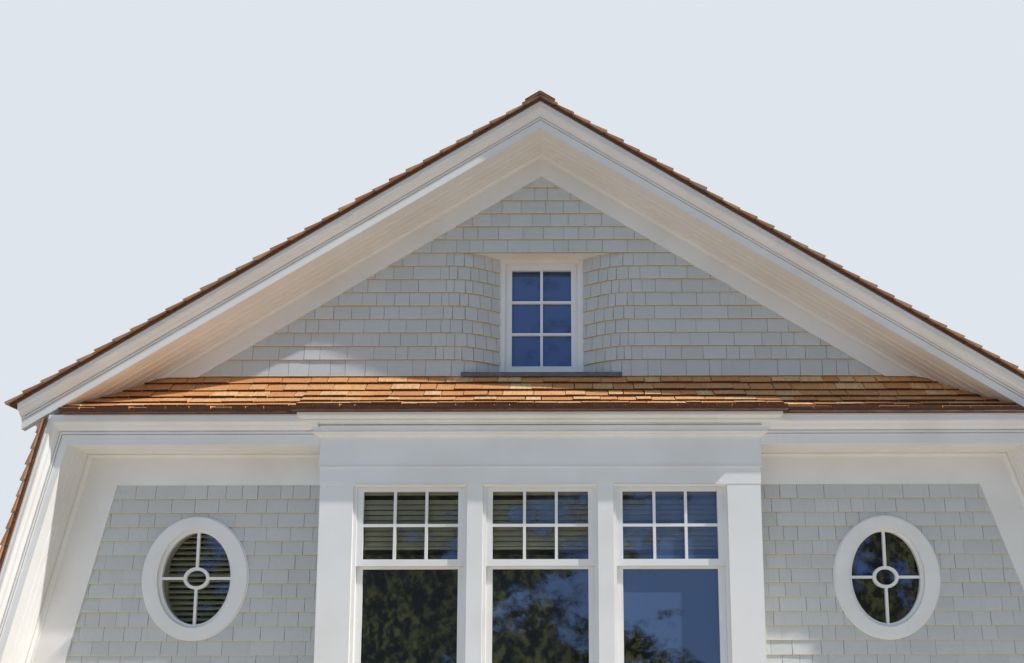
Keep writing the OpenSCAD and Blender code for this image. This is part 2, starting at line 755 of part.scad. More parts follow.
floor_deck();
front_wall_left();
front_wall_right();
party_wall();
attic_floor();
bay_apron();
bay_corner_boards();
bay_mullions();
bay_frieze();
bay_cornice();
bay_frames();
bay_upper_sashes();
bay_lower_sashes();
bay_glass();
oval_casing_left();
oval_casing_right();
oval_sash_left();
oval_sash_right();
oval_glass();
oval_shutter();
gable_wall();
recess_cheeks();
recess_soffit();
gable_casing();
gable_sash();
gable_glass();
gable_flashing();
upper_roof();
upper_shingles_left();
upper_shingles_right();
ridge_cap();
lower_slope_left();
lower_slope_right();
lower_shingles_left();
lower_shingles_right();
rake_cornice();
rake_soffit();
rake_frieze();
side_cornice_left();
side_cornice_right();
side_soffits();
side_frieze_left();
side_frieze_right();
eave_returns();
pent_roof();
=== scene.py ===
"""Visual model of the pedimented gambrel dormer window.

All lengths are in metres in the part's own frame: X runs across the front, Y runs back
from the wall face and Z runs up from the floor line. The front faces -Y.
"""

import json
import logging
import math
import random
from dataclasses import dataclass, field, replace
from enum import Enum
from typing import Iterator, Sequence

import bmesh
import bpy
from mathutils import Matrix, Vector

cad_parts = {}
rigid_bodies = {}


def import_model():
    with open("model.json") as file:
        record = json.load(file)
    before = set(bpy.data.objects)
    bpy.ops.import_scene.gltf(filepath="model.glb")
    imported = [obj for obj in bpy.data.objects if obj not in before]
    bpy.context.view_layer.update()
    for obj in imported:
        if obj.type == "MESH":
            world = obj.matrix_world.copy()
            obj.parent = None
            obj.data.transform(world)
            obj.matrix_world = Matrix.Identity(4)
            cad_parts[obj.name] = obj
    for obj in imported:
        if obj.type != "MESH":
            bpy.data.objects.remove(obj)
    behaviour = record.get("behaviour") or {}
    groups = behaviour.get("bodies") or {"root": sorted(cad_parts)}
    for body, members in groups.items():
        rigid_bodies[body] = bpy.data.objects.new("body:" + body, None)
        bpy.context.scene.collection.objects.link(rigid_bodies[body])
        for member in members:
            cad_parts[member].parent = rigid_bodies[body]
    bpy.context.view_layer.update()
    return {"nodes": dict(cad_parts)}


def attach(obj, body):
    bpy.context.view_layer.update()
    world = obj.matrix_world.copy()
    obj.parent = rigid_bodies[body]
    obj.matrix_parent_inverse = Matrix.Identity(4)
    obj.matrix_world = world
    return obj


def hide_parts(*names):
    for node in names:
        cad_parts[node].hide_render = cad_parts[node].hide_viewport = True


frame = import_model()
log = logging.getLogger("dormer")

Point = tuple[float, float, float]
Flat = tuple[float, float]
Colour = tuple[float, float, float]
Material = bpy.types.Material
Object = bpy.types.Object
Node = bpy.types.Node
Socket = bpy.types.NodeSocket


class Side(Enum):
    """The two halves of the front."""

    LEFT = -1
    RIGHT = 1


def linear(red: int, green: int, blue: int) -> Colour:
    """Returns the linear colour of an 8 bit sRGB colour."""
    return tuple((c / 255 / 12.92) if c <= 10 else ((c / 255 + 0.055) / 1.055) ** 2.4
                 for c in (red, green, blue))


@dataclass(frozen=True)
class House:
    """Main sizes of the front, the same as those of the solids.

    Half widths are measured from the middle of the front, heights from the floor line, and
    reaches out from the wall face. The corners are the half widths at the level soffit, and a
    skin is the thickness of roofing that the solids keep for the courses.
    """

    depth: float = 3.6
    soffit: float = 2.630
    left_corner: float = 3.990
    right_corner: float = 4.100
    left_lean: float = math.radians(12.75)
    right_lean: float = math.radians(18.75)
    pitch: float = math.radians(32)
    apex: float = 2.630 + 0.360 + 3.990 * math.tan(math.radians(32))
    level_top: float = 2.867
    pent_top: float = 3.382
    rake_height: float = 0.237 * 0.72
    skin: float = 0.050
    fascia_reach: float = 0.420
    rake_reach: float = 0.455
    board_back: float = 0.060
    lower_reach: float = 0.560
    upper_reach: float = 0.595
    eave_reach: float = 0.208
    eave_overhang: float = 0.070
    frieze_depth: float = 0.270
    lower_frieze: float = 0.308
    rake_frieze: float = 0.182
    bay_half: float = 1.850
    pent_bay_half: float = 2.055
    pent_bay_reach: float = 0.625
    pent_butt: float = 0.028
    recess_half: float = 0.770
    recess_head: float = 4.537
    recess_depth: float = 0.162
    casing_half: float = 0.392
    oval_x: float = 3.005
    oval_z: float = 1.538
    oval_reach: Flat = (0.400, 0.490)

    def lean(self, side: Side) -> float:
        """Returns the lean of a lower slope from upright."""
        return self.left_lean if side is Side.LEFT else self.right_lean

    def slope_x(self, side: Side, z: float) -> float:
        """Returns the half width on the inner line of a lower slope at height z."""
        corner = self.left_corner if side is Side.LEFT else self.right_corner
        return corner + (self.soffit - z) * math.tan(self.lean(side))

    def rake_z(self, x: float, h: float = 0.0) -> float:
        """Returns the height of the raking soffit plane at half width x, raised by h."""
        return self.apex - abs(x) * math.tan(self.pitch) + h / math.cos(self.pitch)

    def knee_x(self, side: Side, h: float = 0.0) -> float:
        """Finds where the upper soffit plane meets a lower slope line.

        Args:
            side: which slope.
            h: how far the line is moved out.

        Returns:
            The half width there.
        """
        lean, rise = self.lean(side), self.apex - self.soffit
        corner = self.left_corner if side is Side.LEFT else self.right_corner
        return ((corner + h / math.cos(lean) - rise * math.tan(lean))
                / (1 - math.tan(self.pitch) * math.tan(lean)))

    def eave(self, side: Side) -> float:
        """Returns the half width at the tip of the eave crown."""
        return self.knee_x(side, self.rake_height + self.skin) + self.eave_reach


HOUSE = House()


class NodeBuilder:
    """Short calls for adding nodes to one tree."""

    def __init__(self, tree: bpy.types.NodeTree) -> None:
        """Keeps the tree."""
        self.tree = tree

    @staticmethod
    def live(sockets: Sequence[Socket], key: int | str) -> Socket:
        """Finds a socket.

        Args:
            sockets: a node's inputs or outputs.
            key: its place, or its name if only one of that name is in use.

        Returns:
            The socket.
        """
        if isinstance(key, int):
            return sockets[key]
        return next(s for s in sockets if s.name == key and s.enabled)

    def put(self, socket: Socket, value: object) -> None:
        """Links or sets one input.

        Args:
            socket: the input.
            value: another node's output, a number or a colour.
        """
        if isinstance(value, Socket):
            self.tree.links.new(value, socket)
        elif socket.type == "RGBA":
            socket.default_value = (*value, 1.0)
        else:
            socket.default_value = value

    def add(self, kind: str, inputs: dict[int | str, object] | None = None, **settings: object) -> Node:
        """Adds a node.

        Args:
            kind: the node's type.
            inputs: values or outputs for its inputs, by name or place.
            settings: the node's own properties.

        Returns:
            The node.
        """
        node = self.tree.nodes.new(kind)
        for key, value in settings.items():
            setattr(node, key, value)
        for key, value in (inputs or {}).items():
            self.put(self.live(node.inputs, key), value)
        return node

    def math(self, operation: str, a: object, b: object = 0.5) -> Socket:
        """Returns the result of one Math node."""
        return self.add("ShaderNodeMath", {0: a, 1: b}, operation=operation).outputs[0]

    def parts(self, vector: Socket) -> Sequence[Socket]:
        """Returns the three parts of a vector."""
        return self.add("ShaderNodeSeparateXYZ", {0: vector}).outputs


class Graph(NodeBuilder):
    """The nodes of one material."""

    def __init__(self, name: str) -> None:
        """Makes a material with its Principled shader.

        Args:
            name: the material's name.
        """
        self.material = bpy.data.materials.new(name)
        self.material.use_nodes = True
        super().__init__(self.material.node_tree)
        self.shader = self.tree.nodes["Principled BSDF"]

    def place(self) -> Socket:
        """Returns the Object coordinates."""
        return self.add("ShaderNodeTexCoord").outputs["Object"]

    def attribute(self, name: str, output: str = "Fac") -> Socket:
        """Returns a mesh attribute."""
        return self.add("ShaderNodeAttribute", attribute_name=name).outputs[output]

    def stretch(self, vector: Socket, factors: Point) -> Socket:
        """Returns a vector times factors along its axes."""
        return self.add("ShaderNodeVectorMath", {0: vector, 1: factors}, operation="MULTIPLY").outputs[0]

    def raked(self, vector: Socket, angle: float) -> Socket:
        """Turns coordinates so that their first axis runs down both roof slopes.

        Args:
            vector: the coordinates.
            angle: pitch of the slopes.

        Returns:
            The turned coordinates.
        """
        x, y, z = self.parts(vector)
        joined = self.add("ShaderNodeCombineXYZ", {0: self.math("ABSOLUTE", x), 1: y, 2: z}).outputs[0]
        return self.add("ShaderNodeVectorRotate", {"Vector": joined, "Angle": -angle},
                        rotation_type="Y_AXIS").outputs[0]

    def noise(self, vector: Socket, scale: float, detail: float = 4.0,
              rough: float = 0.55) -> Socket:
        """Returns a noise between 0 and 1."""
        return self.add("ShaderNodeTexNoise", {"Vector": vector, "Scale": scale, "Detail": detail,
                                               "Roughness": rough}).outputs[0]

    def band(self, value: Socket, low: float, high: float, to_low: float = 0.0,
             to_high: float = 1.0) -> Socket:
        """Returns a value carried smoothly from one range to another."""
        return self.add("ShaderNodeMapRange", {0: value, 1: low, 2: high, 3: to_low, 4: to_high},
                        interpolation_type="SMOOTHSTEP").outputs[0]

    def ramp(self, value: Socket, stops: Sequence[tuple[float, Colour]]) -> Socket:
        """Turns a value into a colour.

        Args:
            value: the value, 0 to 1.
            stops: rows of place and colour.

        Returns:
            The colour.
        """
        node = self.add("ShaderNodeValToRGB", {0: value})
        elements = node.color_ramp.elements
        while len(elements) < len(stops):
            elements.new(0.5)
        for element, (at, colour) in zip(elements, stops):
            element.position, element.color = at, (*colour, 1.0)
        return node.outputs[0]

    def mix(self, factor: object, a: object, b: object, blend: str = "MIX") -> Socket:
        """Returns two colours mixed."""
        inputs = {0: factor, 6: a, 7: b}
        return self.add("ShaderNodeMix", inputs, data_type="RGBA", blend_type=blend).outputs[2]

    def finish(self, colour: object, roughness: object, height: object, depth: float,
               strength: float = 0.6) -> Material:
        """Connects the shader.

        Args:
            colour: base colour.
            roughness: roughness.
            height: height of the relief, 0 to 1.
            depth: depth of the relief in metres.
            strength: how much of the relief shows.

        Returns:
            The material.
        """
        self.put(self.shader.inputs["Base Color"], colour)
        self.put(self.shader.inputs["Roughness"], roughness)
        relief = self.add("ShaderNodeBump", {"Height": height, "Distance": depth, "Strength": strength})
        self.put(self.shader.inputs["Normal"], relief.outputs[0])
        return self.material


class Run(Enum):
    """Which way the grain of a painted board runs."""

    LEVEL = (1.2, 18.0, 26.0)
    UPRIGHT = (26.0, 18.0, 1.2)
    RAKED = (1.3, 18.0, 26.01)


@dataclass(frozen=True)
class TrimPaint:
    """White satin paint on planed boards, brushed along the grain."""

    name: str
    run: Run
    colour: Colour = linear(228, 227, 225)
    shade: Colour = linear(221, 219, 215)
    soot: Colour = linear(176, 170, 158)

    def material(self) -> Material:
        """Builds the finish.

        Returns:
            The material.
        """
        g = Graph(self.name)
        spot = g.place()
        along = g.raked(spot, HOUSE.pitch) if self.run is Run.RAKED else spot
        brushed = g.noise(g.stretch(along, self.run.value), 9.0, 4.0, 0.5)
        cloudy = g.noise(spot, 1.7, 3.0)
        stain = g.band(g.noise(g.stretch(spot, (9.0, 9.0, 1.1)), 2.3, 6.0, 0.68), 0.62, 0.82, 0.0, 0.07)
        colour = g.mix(g.band(cloudy, 0.35, 0.7), self.colour, self.shade)
        colour = g.mix(stain, colour, self.soot)
        colour = g.mix(g.band(brushed, 0.35, 0.75, 0.0, 0.025), colour, self.soot)
        rough = g.band(brushed, 0.3, 0.7, 0.40, 0.52)
        return g.finish(colour, rough, brushed, 0.0005, 0.05)


@dataclass(frozen=True)
class WallShinglePaint:
    """Pale blue-grey paint on sawn shingles, worn to the wood on the butts, with a pale band at the foot of
    each face that is partly worn edge and partly painted highlight.
    """

    name: str = "painted_shingle"
    colours: tuple[Colour, ...] = (linear(190, 192, 190), linear(197, 199, 197), linear(203, 205, 204))
    butt: Colour = linear(206, 184, 124)
    # rim: colour of the band at the foot of each face, worn edge and painted highlight of the butt lit from
    # below
    rim: Colour = linear(224, 208, 160)

    def material(self) -> Material:
        """Builds the finish.

        Returns:
            The material.
        """
        g = Graph(self.name)
        grain = g.attribute("grain", "Vector")
        tone = g.attribute("tone")
        streak = g.noise(g.stretch(grain, (1.0, 1.0, 0.06)), 170.0, 4.0, 0.62)
        cloudy = g.noise(g.place(), 2.6, 4.0)
        level = g.math("ADD", g.math("MULTIPLY", tone, 0.5), g.math("MULTIPLY", cloudy, 0.5))
        colour = g.ramp(level, [(0.12, self.colours[0]), (0.5, self.colours[1]), (0.92, self.colours[2])])
        colour = g.mix(g.band(streak, 0.35, 0.75, 0.0, 0.16), colour, linear(150, 152, 150))
        chips = g.band(g.noise(g.stretch(grain, (1.0, 1.0, 0.35)), 60.0, 3.0), 0.66, 0.74)
        low = g.band(g.attribute("rise"), 0.16, 0.0)
        colour = g.mix(g.math("MULTIPLY", chips, low), colour, self.butt)
        # Painted highlight: a pale band at the foot of each face stands in for the butt edge catching light
        # from below, over wood where the paint wears.
        colour = g.mix(g.band(g.attribute("rise"), 0.056, 0.040, 0.0, 0.65), colour, self.rim)
        worn = g.mix(g.band(streak, 0.3, 0.7), self.butt, linear(160, 138, 100))
        colour = g.mix(g.attribute("butt"), colour, worn)
        return g.finish(colour, g.band(streak, 0.3, 0.7, 0.62, 0.80), streak, 0.0016, 0.7)


@dataclass(frozen=True)
class Cedar:
    """Cedar shingles, honey and red-brown, weathered grey in places, with painted shade under each course's
    butts and on the butts themselves.
    """

    name: str
    fresh: tuple[Colour, ...]
    butt: Colour
    grey: float

    def material(self) -> Material:
        """Builds the finish.

        Returns:
            The material.
        """
        g = Graph(self.name)
        grain = g.attribute("grain", "Vector")
        tone = g.attribute("tone")
        fine = g.noise(g.stretch(grain, (1.0, 1.0, 0.05)), 150.0, 5.0, 0.65)
        broad = g.noise(g.stretch(grain, (1.0, 1.0, 0.12)), 32.0, 3.0)
        stops = [(i / (len(self.fresh) - 1), c) for i, c in enumerate(self.fresh)]
        colour = g.ramp(tone, stops)
        colour = g.mix(g.band(broad, 0.35, 0.70, 0.0, 0.55), colour, self.fresh[1])
        colour = g.mix(g.band(fine, 0.45, 0.72, 0.0, 0.45), colour, self.butt)
        bleached = g.band(g.noise(g.place(), 3.1, 5.0, 0.6), 0.42, 0.66, 0.0, self.grey)
        colour = g.mix(bleached, colour, linear(150, 132, 112))
        # Painted shade: the upper end of each shingle's face darkens towards the butt colour, under the next
        # course's butts.
        colour = g.mix(g.band(g.attribute("rise"), 0.62, 1.0, 0.0, 0.35), colour, self.butt)
        # The faces that point down take the dark butt colour: end grain, darkened further as painted shade.
        end = g.mix(g.band(broad, 0.45, 0.80, 0.0, self.grey), self.butt, self.fresh[1])
        colour = g.mix(g.math("MULTIPLY", g.attribute("butt"), 0.95), colour, end)
        return g.finish(colour, g.band(fine, 0.3, 0.7, 0.58, 0.82), fine, 0.003, 0.8)


@dataclass(frozen=True)
class Timber:
    """Sawn boards, seen on roof edges, floors and the backs of the roofs."""

    name: str
    light: Colour
    dark: Colour
    board: float = 0.14

    def material(self) -> Material:
        """Builds the finish.

        Returns:
            The material.
        """
        g = Graph(self.name)
        spot = g.place()
        grain = g.noise(g.stretch(spot, (1.4, 14.0, 14.0)), 6.0, 5.0, 0.62)
        joints = g.add("ShaderNodeTexWave", {"Vector": spot, "Scale": 0.5 / self.board, "Distortion": 0.0},
                       bands_direction="Y").outputs["Fac"]
        colour = g.mix(g.band(grain, 0.32, 0.70), self.light, self.dark)
        seam = g.band(joints, 0.985, 1.0)
        colour = g.mix(g.math("MULTIPLY", seam, 0.6), colour, linear(52, 36, 24))
        return g.finish(colour, g.band(grain, 0.3, 0.7, 0.65, 0.85), grain, 0.002, 0.6)


@dataclass(frozen=True)
class PartyRender:
    """Pale cement render on the plain party wall and the inside of the walls."""

    name: str = "party_render"
    light: Colour = linear(216, 212, 203)
    dark: Colour = linear(209, 205, 196)

    def material(self) -> Material:
        """Builds the finish.

        Returns:
            The material.
        """
        g = Graph(self.name)
        spot = g.place()
        trowel = g.noise(g.stretch(spot, (1.0, 1.0, 1.6)), 5.5, 6.0, 0.55)
        sand = g.noise(spot, 160.0, 3.0)
        streak = g.band(g.noise(g.stretch(spot, (4.0, 4.0, 0.25)), 1.5, 5.0), 0.55, 0.8)
        colour = g.mix(g.band(trowel, 0.35, 0.68), self.light, self.dark)
        colour = g.mix(g.math("MULTIPLY", streak, 0.18), colour, linear(150, 147, 139))
        height = g.math("ADD", g.math("MULTIPLY", trowel, 0.8), g.math("MULTIPLY", sand, 0.3))
        return g.finish(colour, 0.86, height, 0.004, 0.5)


@dataclass(frozen=True)
class LeadFlashing:
    """Dark painted metal strip, softly dented."""

    name: str = "dark_flashing"

    def material(self) -> Material:
        """Builds the finish.

        Returns:
            The material.
        """
        g = Graph(self.name)
        dents = g.noise(g.stretch(g.place(), (6.0, 20.0, 20.0)), 3.0, 4.0)
        colour = g.mix(g.band(dents, 0.35, 0.7), linear(70, 60, 62), linear(98, 88, 90))
        g.shader.inputs["Metallic"].default_value = 0.35
        return g.finish(colour, g.band(dents, 0.3, 0.7, 0.34, 0.52), dents, 0.003, 0.5)


@dataclass(frozen=True)
class WindowGlass:
    """Float glass over a dim room, slightly wavy, with reflections of trees and sky painted in soft patches.

    Attributes:
        name: the material's name.
        dark: colour of the dark patches of painted reflection, as of trees.
        warm: colour of the lighter, leafy patches of painted reflection.
        cool: colour of the bluish patches, a painted reflection of the sky.
        coolness: share of bluish patches, from 0 to 1.
        drift: how much bluer the painted reflection grows for each metre to the right.
        clear: how much shows through.
        shade: height above which the pane is darkened under its head, as painted shade.
        blind: height of the foot of the blinds, under which less shows through.
        right: least cover of the panes right of the middle, where nothing hangs inside.
    """

    name: str
    dark: Colour
    warm: Colour
    cool: Colour
    coolness: float
    drift: float
    clear: float
    shade: float
    blind: float = 0.0
    right: float = 0.0

    def material(self) -> Material:
        """Builds the finish.

        Returns:
            The material.
        """
        g = Graph(self.name)
        spot = g.place()
        across, _, height = g.parts(spot)
        # The panes' colours are painted reflections: dark and leafy patches as of trees, bluish patches as of
        # sky, bluer to the right.
        leaf_reflection = g.noise(g.stretch(spot, (1.0, 1.0, 0.8)), 13.0, 8.0, 0.74)
        wide = g.noise(g.stretch(spot, (1.0, 1.0, 1.3)), 1.3, 8.0, 0.62)
        colour = g.mix(g.band(leaf_reflection, 0.46, 0.60), self.dark, self.warm)
        wide = g.math("ADD", wide, g.math("MULTIPLY", across, self.drift))
        edge = 0.75 - 0.5 * self.coolness
        colour = g.mix(g.band(wide, edge - 0.05, edge + 0.05), colour, self.cool)
        # Painted shade: the pane darkens above the shade height, under its head.
        colour = g.mix(g.band(height, self.shade - 0.012, self.shade + 0.012, 0.0, 0.6), colour,
                       linear(52, 50, 44))
        cover = g.band(wide, edge - 0.05, edge + 0.05, 1.0 - self.clear, 1.0 - 0.7 * self.clear)
        low = g.band(height, self.blind - 0.01, self.blind + 0.01, 0.80, 0.0)
        cover = g.math("MAXIMUM", g.math("MAXIMUM", cover, low), g.band(across, 0.0, 0.1, 0.0, self.right))
        g.put(g.shader.inputs["Alpha"], cover)
        g.shader.inputs["IOR"].default_value = 1.50
        g.shader.inputs["Specular IOR Level"].default_value = 0.15
        return g.finish(colour, 0.03, g.noise(spot, 2.2, 1.0), 0.004, 0.2)


@dataclass(frozen=True)
class Spot:
    """Where one shingle lies.

    Attributes:
        at: middle of its butt, on the boarding.
        axes: its own x (across), y (into the boarding) and z (up the slope).
        width: width across.
        length: length up the slope.
        thick: factor on its thickness.
        tone: colour place from 0 to 1.
    """

    at: Point
    axes: tuple[Point, Point, Point]
    width: float
    length: float
    thick: float
    tone: float


class CourseTree(NodeBuilder):
    """Geometry node tree that lays one wedge-shaped shingle on each point."""

    INPUTS = (("Butt Thickness", 0.016), ("Tip Thickness", 0.004), ("Wander", 0.002), ("Tilt", 0.006))

    def __init__(self) -> None:
        """Builds the tree."""
        super().__init__(bpy.data.node_groups.new("shingle_courses", "GeometryNodeTree"))
        face = self.tree.interface
        self.ids: dict[str, str] = {}
        face.new_socket("Geometry", in_out="INPUT", socket_type="NodeSocketGeometry")
        for name, value in self.INPUTS:
            socket = face.new_socket(name, in_out="INPUT", socket_type="NodeSocketFloat")
            socket.default_value = value
            self.ids[name] = socket.identifier
        seed = face.new_socket("Seed", in_out="INPUT", socket_type="NodeSocketInt")
        finish = face.new_socket("Finish", in_out="INPUT", socket_type="NodeSocketMaterial")
        self.ids["Seed"], self.ids["Finish"] = seed.identifier, finish.identifier
        face.new_socket("Geometry", in_out="OUTPUT", socket_type="NodeSocketGeometry")
        self.given = self.tree.nodes.new("NodeGroupInput")
        self._wire()

    def _named(self, name: str, kind: str) -> Socket:
        """Returns a named attribute of the points."""
        node = self.add("GeometryNodeInputNamedAttribute", {"Name": name}, data_type=kind)
        return self.live(node.outputs, "Attribute")

    def _store(self, shape: Socket, name: str, value: Socket, kind: str, domain: str) -> Socket:
        """Writes one more named attribute.

        Args:
            shape: the geometry.
            name: the attribute's name.
            value: what is written.
            kind: data type.
            domain: what carries it.

        Returns:
            The geometry with the attribute.
        """
        inputs = {"Geometry": shape, "Name": name, "Value": value}
        return self.add("GeometryNodeStoreNamedAttribute", inputs, data_type=kind, domain=domain).outputs[0]

    def _wedge(self) -> Socket:
        """Makes the wedge that every shingle is, with its butt at the bottom.

        Returns:
            The wedge, one unit wide and one unit long.
        """
        corners = {"Vertices X": 2, "Vertices Y": 2, "Vertices Z": 3}
        box = self.add("GeometryNodeMeshCube", corners).outputs[0]
        x, y, z = self.parts(self.add("GeometryNodeInputPosition").outputs[0])
        up = self.math("ADD", z, 0.5)
        butt, tip = self.given.outputs["Butt Thickness"], self.given.outputs["Tip Thickness"]
        thick = self.math("ADD", butt, self.math("MULTIPLY", self.math("SUBTRACT", tip, butt), up))
        depth = self.math("MULTIPLY", self.math("SUBTRACT", y, 0.5), thick)
        where = self.add("ShaderNodeCombineXYZ", {"X": x, "Y": depth, "Z": up}).outputs[0]
        placed = self.add("GeometryNodeSetPosition", {"Geometry": box, "Position": where}).outputs[0]
        spot = self.add("GeometryNodeInputPosition").outputs[0]
        shape = self._store(placed, "local", spot, "FLOAT_VECTOR", "POINT")
        facing = self.parts(self.add("GeometryNodeInputNormal").outputs[0])
        under = self.math("LESS_THAN", facing[2], -0.5)
        return self._store(shape, "butt", under, "FLOAT", "FACE")

    def _wire(self) -> None:
        """Joins the nodes from the points to the finished courses."""
        given = self.given.outputs
        euler = self._named("turn", "FLOAT_VECTOR")
        turn = self.add("FunctionNodeEulerToRotation", {"Euler": euler}).outputs[0]
        laid = self.add("GeometryNodeInstanceOnPoints", {
            "Points": given["Geometry"], "Instance": self._wedge(),
            "Rotation": turn, "Scale": self._named("size", "FLOAT_VECTOR")}).outputs[0]
        reach = self.add("ShaderNodeCombineXYZ", {
            "X": self.math("MULTIPLY", given["Wander"], 0.3), "Z": given["Wander"]}).outputs[0]
        minus = self.add("ShaderNodeVectorMath", {0: reach, "Scale": -1.0}, operation="SCALE").outputs[0]
        shift = self.add("FunctionNodeRandomValue", {
            "Min": minus, "Max": reach, "Seed": given["Seed"]}, data_type="FLOAT_VECTOR")
        moved = self.add("GeometryNodeTranslateInstances", {
            "Instances": laid, "Translation": self.live(shift.outputs, "Value")}).outputs[0]
        tilt = given["Tilt"]
        lean = self.add("FunctionNodeRandomValue", {
            "Min": self.math("MULTIPLY", tilt, -1.0), "Max": tilt,
            "Seed": self.math("ADD", given["Seed"], 7.0)}, data_type="FLOAT")
        about = self.add("ShaderNodeCombineXYZ", {"Y": self.live(lean.outputs, "Value")}).outputs[0]
        spin = self.add("FunctionNodeEulerToRotation", {"Euler": about}).outputs[0]
        tilted = self.add("GeometryNodeRotateInstances", {"Instances": moved, "Rotation": spin}).outputs[0]
        solid = self.add("GeometryNodeRealizeInstances", {"Geometry": tilted}).outputs[0]
        local, size, tone = (self._named(n, k) for n, k in (
            ("local", "FLOAT_VECTOR"), ("size", "FLOAT_VECTOR"), ("tone", "FLOAT")))
        solid = self._store(solid, "rise", self.parts(local)[2], "FLOAT", "POINT")
        scaled = self.add("ShaderNodeVectorMath", {0: local, 1: size}, operation="MULTIPLY").outputs[0]
        apart = self.add("ShaderNodeCombineXYZ", {
            "X": self.math("MULTIPLY", tone, 37.0), "Z": self.math("MULTIPLY", tone, 11.0)}).outputs[0]
        grain = self.add("ShaderNodeVectorMath", {0: scaled, 1: apart}, operation="ADD").outputs[0]
        solid = self._store(solid, "grain", grain, "FLOAT_VECTOR", "POINT")
        for name in ("local", "size", "turn"):
            solid = self.add("GeometryNodeRemoveAttribute", {"Geometry": solid, "Name": name}).outputs[0]
        painted = self.add("GeometryNodeSetMaterial", {
            "Geometry": solid, "Material": given["Finish"]}).outputs[0]
        out = self.tree.nodes.new("NodeGroupOutput")
        self.tree.links.new(painted, out.inputs[0])


@dataclass
class ShingleField:
    """One piece made of many shingles, laid by the course tree."""

    name: str
    finish: Material
    butt: float
    tip: float
    wander: float
    tilt: float
    seed: int
    slot: str
    spots: list[Spot] = field(default_factory=list)

    def build(self, tree: CourseTree, replaced: Sequence[str] = ()) -> Object:
        """Lays the shingles and turns them into one plain mesh.

        Args:
            tree: the course tree.
            replaced: CAD nodes that this piece stands for.

        Returns:
            The piece.
        """
        mesh = bpy.data.meshes.new(self.name + "_points")
        mesh.from_pydata([s.at for s in self.spots], [], [])
        turns = [Matrix([Vector(a) for a in s.axes]).transposed().to_euler() for s in self.spots]
        self._vectors(mesh, "turn", turns)
        self._vectors(mesh, "size", [(s.width, s.thick, s.length) for s in self.spots])
        mesh.attributes.new("tone", "FLOAT", "POINT").data.foreach_set("value", [s.tone for s in self.spots])
        holder = bpy.data.objects.new(self.name + "_points", mesh)
        bpy.context.scene.collection.objects.link(holder)
        modifier = holder.modifiers.new("courses", "NODES")
        modifier.node_group = tree.tree
        for key, value in (("Butt Thickness", self.butt), ("Tip Thickness", self.tip),
                           ("Wander", self.wander), ("Tilt", self.tilt), ("Seed", self.seed),
                           ("Finish", self.finish)):
            modifier[tree.ids[key]] = value
        shaped = holder.evaluated_get(bpy.context.evaluated_depsgraph_get())
        result = bpy.data.meshes.new_from_object(shaped)
        holder.modifiers.remove(modifier)
        bpy.data.objects.remove(holder)
        result.name = self.name
        piece = bpy.data.objects.new(self.name, result)
        bpy.context.scene.collection.objects.link(piece)
        if not result.materials:
            result.materials.append(self.finish)
        return ride(piece, self.slot, replaced)

    @staticmethod
    def _vectors(mesh: bpy.types.Mesh, name: str, rows: Sequence[Sequence[float]]) -> None:
        """Writes one vector attribute on the points."""
        flat = [value for row in rows for value in row]
        mesh.attributes.new(name, "FLOAT_VECTOR", "POINT").data.foreach_set("vector", flat)


def ride(piece: Object, slot: str, replaced: Sequence[str] = ()) -> Object:
    """Fixes a piece to the part's one body.

    Args:
        piece: the piece.
        slot: a material slot of the record; not used.
        replaced: CAD nodes that it stands for.

    Returns:
        The piece.
    """
    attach(piece, "root")
    if replaced:
        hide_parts(*replaced)
    log.info("%s: %d faces", piece.name, len(piece.data.polygons))
    return piece


def solid(name: str, rings: Sequence[Sequence[Sequence[Point]]], finish: Material) -> Object:
    """Makes one mesh of several closed bars.

    Args:
        name: the piece's name.
        rings: for each bar its rows of section points, all of one length.
        finish: material.

    Returns:
        The piece, with its faces pointing outwards.
    """
    points: list[Point] = []
    faces: list[list[int]] = []
    for bar in rings:
        start, n = len(points), len(bar[0])
        points += [p for ring in bar for p in ring]
        last = start + (len(bar) - 1) * n
        faces.append([start + i for i in range(n)])
        faces.append([last + i for i in reversed(range(n))])
        for k in range(len(bar) - 1):
            a, b = start + k * n, start + (k + 1) * n
            faces += [[a + i, b + i, b + (i + 1) % n, a + (i + 1) % n] for i in range(n)]
    mesh = bpy.data.meshes.new(name)
    mesh.from_pydata(points, [], faces)
    mesh.materials.append(finish)
    work = bmesh.new()
    work.from_mesh(mesh)
    bmesh.ops.recalc_face_normals(work, faces=work.faces)
    work.to_mesh(mesh)
    work.free()
    piece = bpy.data.objects.new(name, mesh)
    bpy.context.scene.collection.objects.link(piece)
    return piece


# The axes of a shingle that stands upright on the wall face.
WALL_AXES = ((1, 0, 0), (0, 1, 0), (0, 0, 1))
# A joint is drawn up to JOINT_TRIES times, until it keeps JOINT_CLEAR of the mean width from the
# joints below. A last shingle under LEAST_SHARE of the mean width is joined to the one before.
JOINT_TRIES, JOINT_CLEAR, LEAST_SHARE = 5, 0.22, 0.35


def bend(start: Flat, pull: Flat, end: Flat, t: float) -> Flat:
    """Returns the point at t, from 0 to 1, of the curve between two points that a third one pulls."""
    a, b, c = (1 - t) ** 2, 2 * t * (1 - t), t * t
    return tuple(a * p + b * q + c * r for p, q, r in zip(start, pull, end))


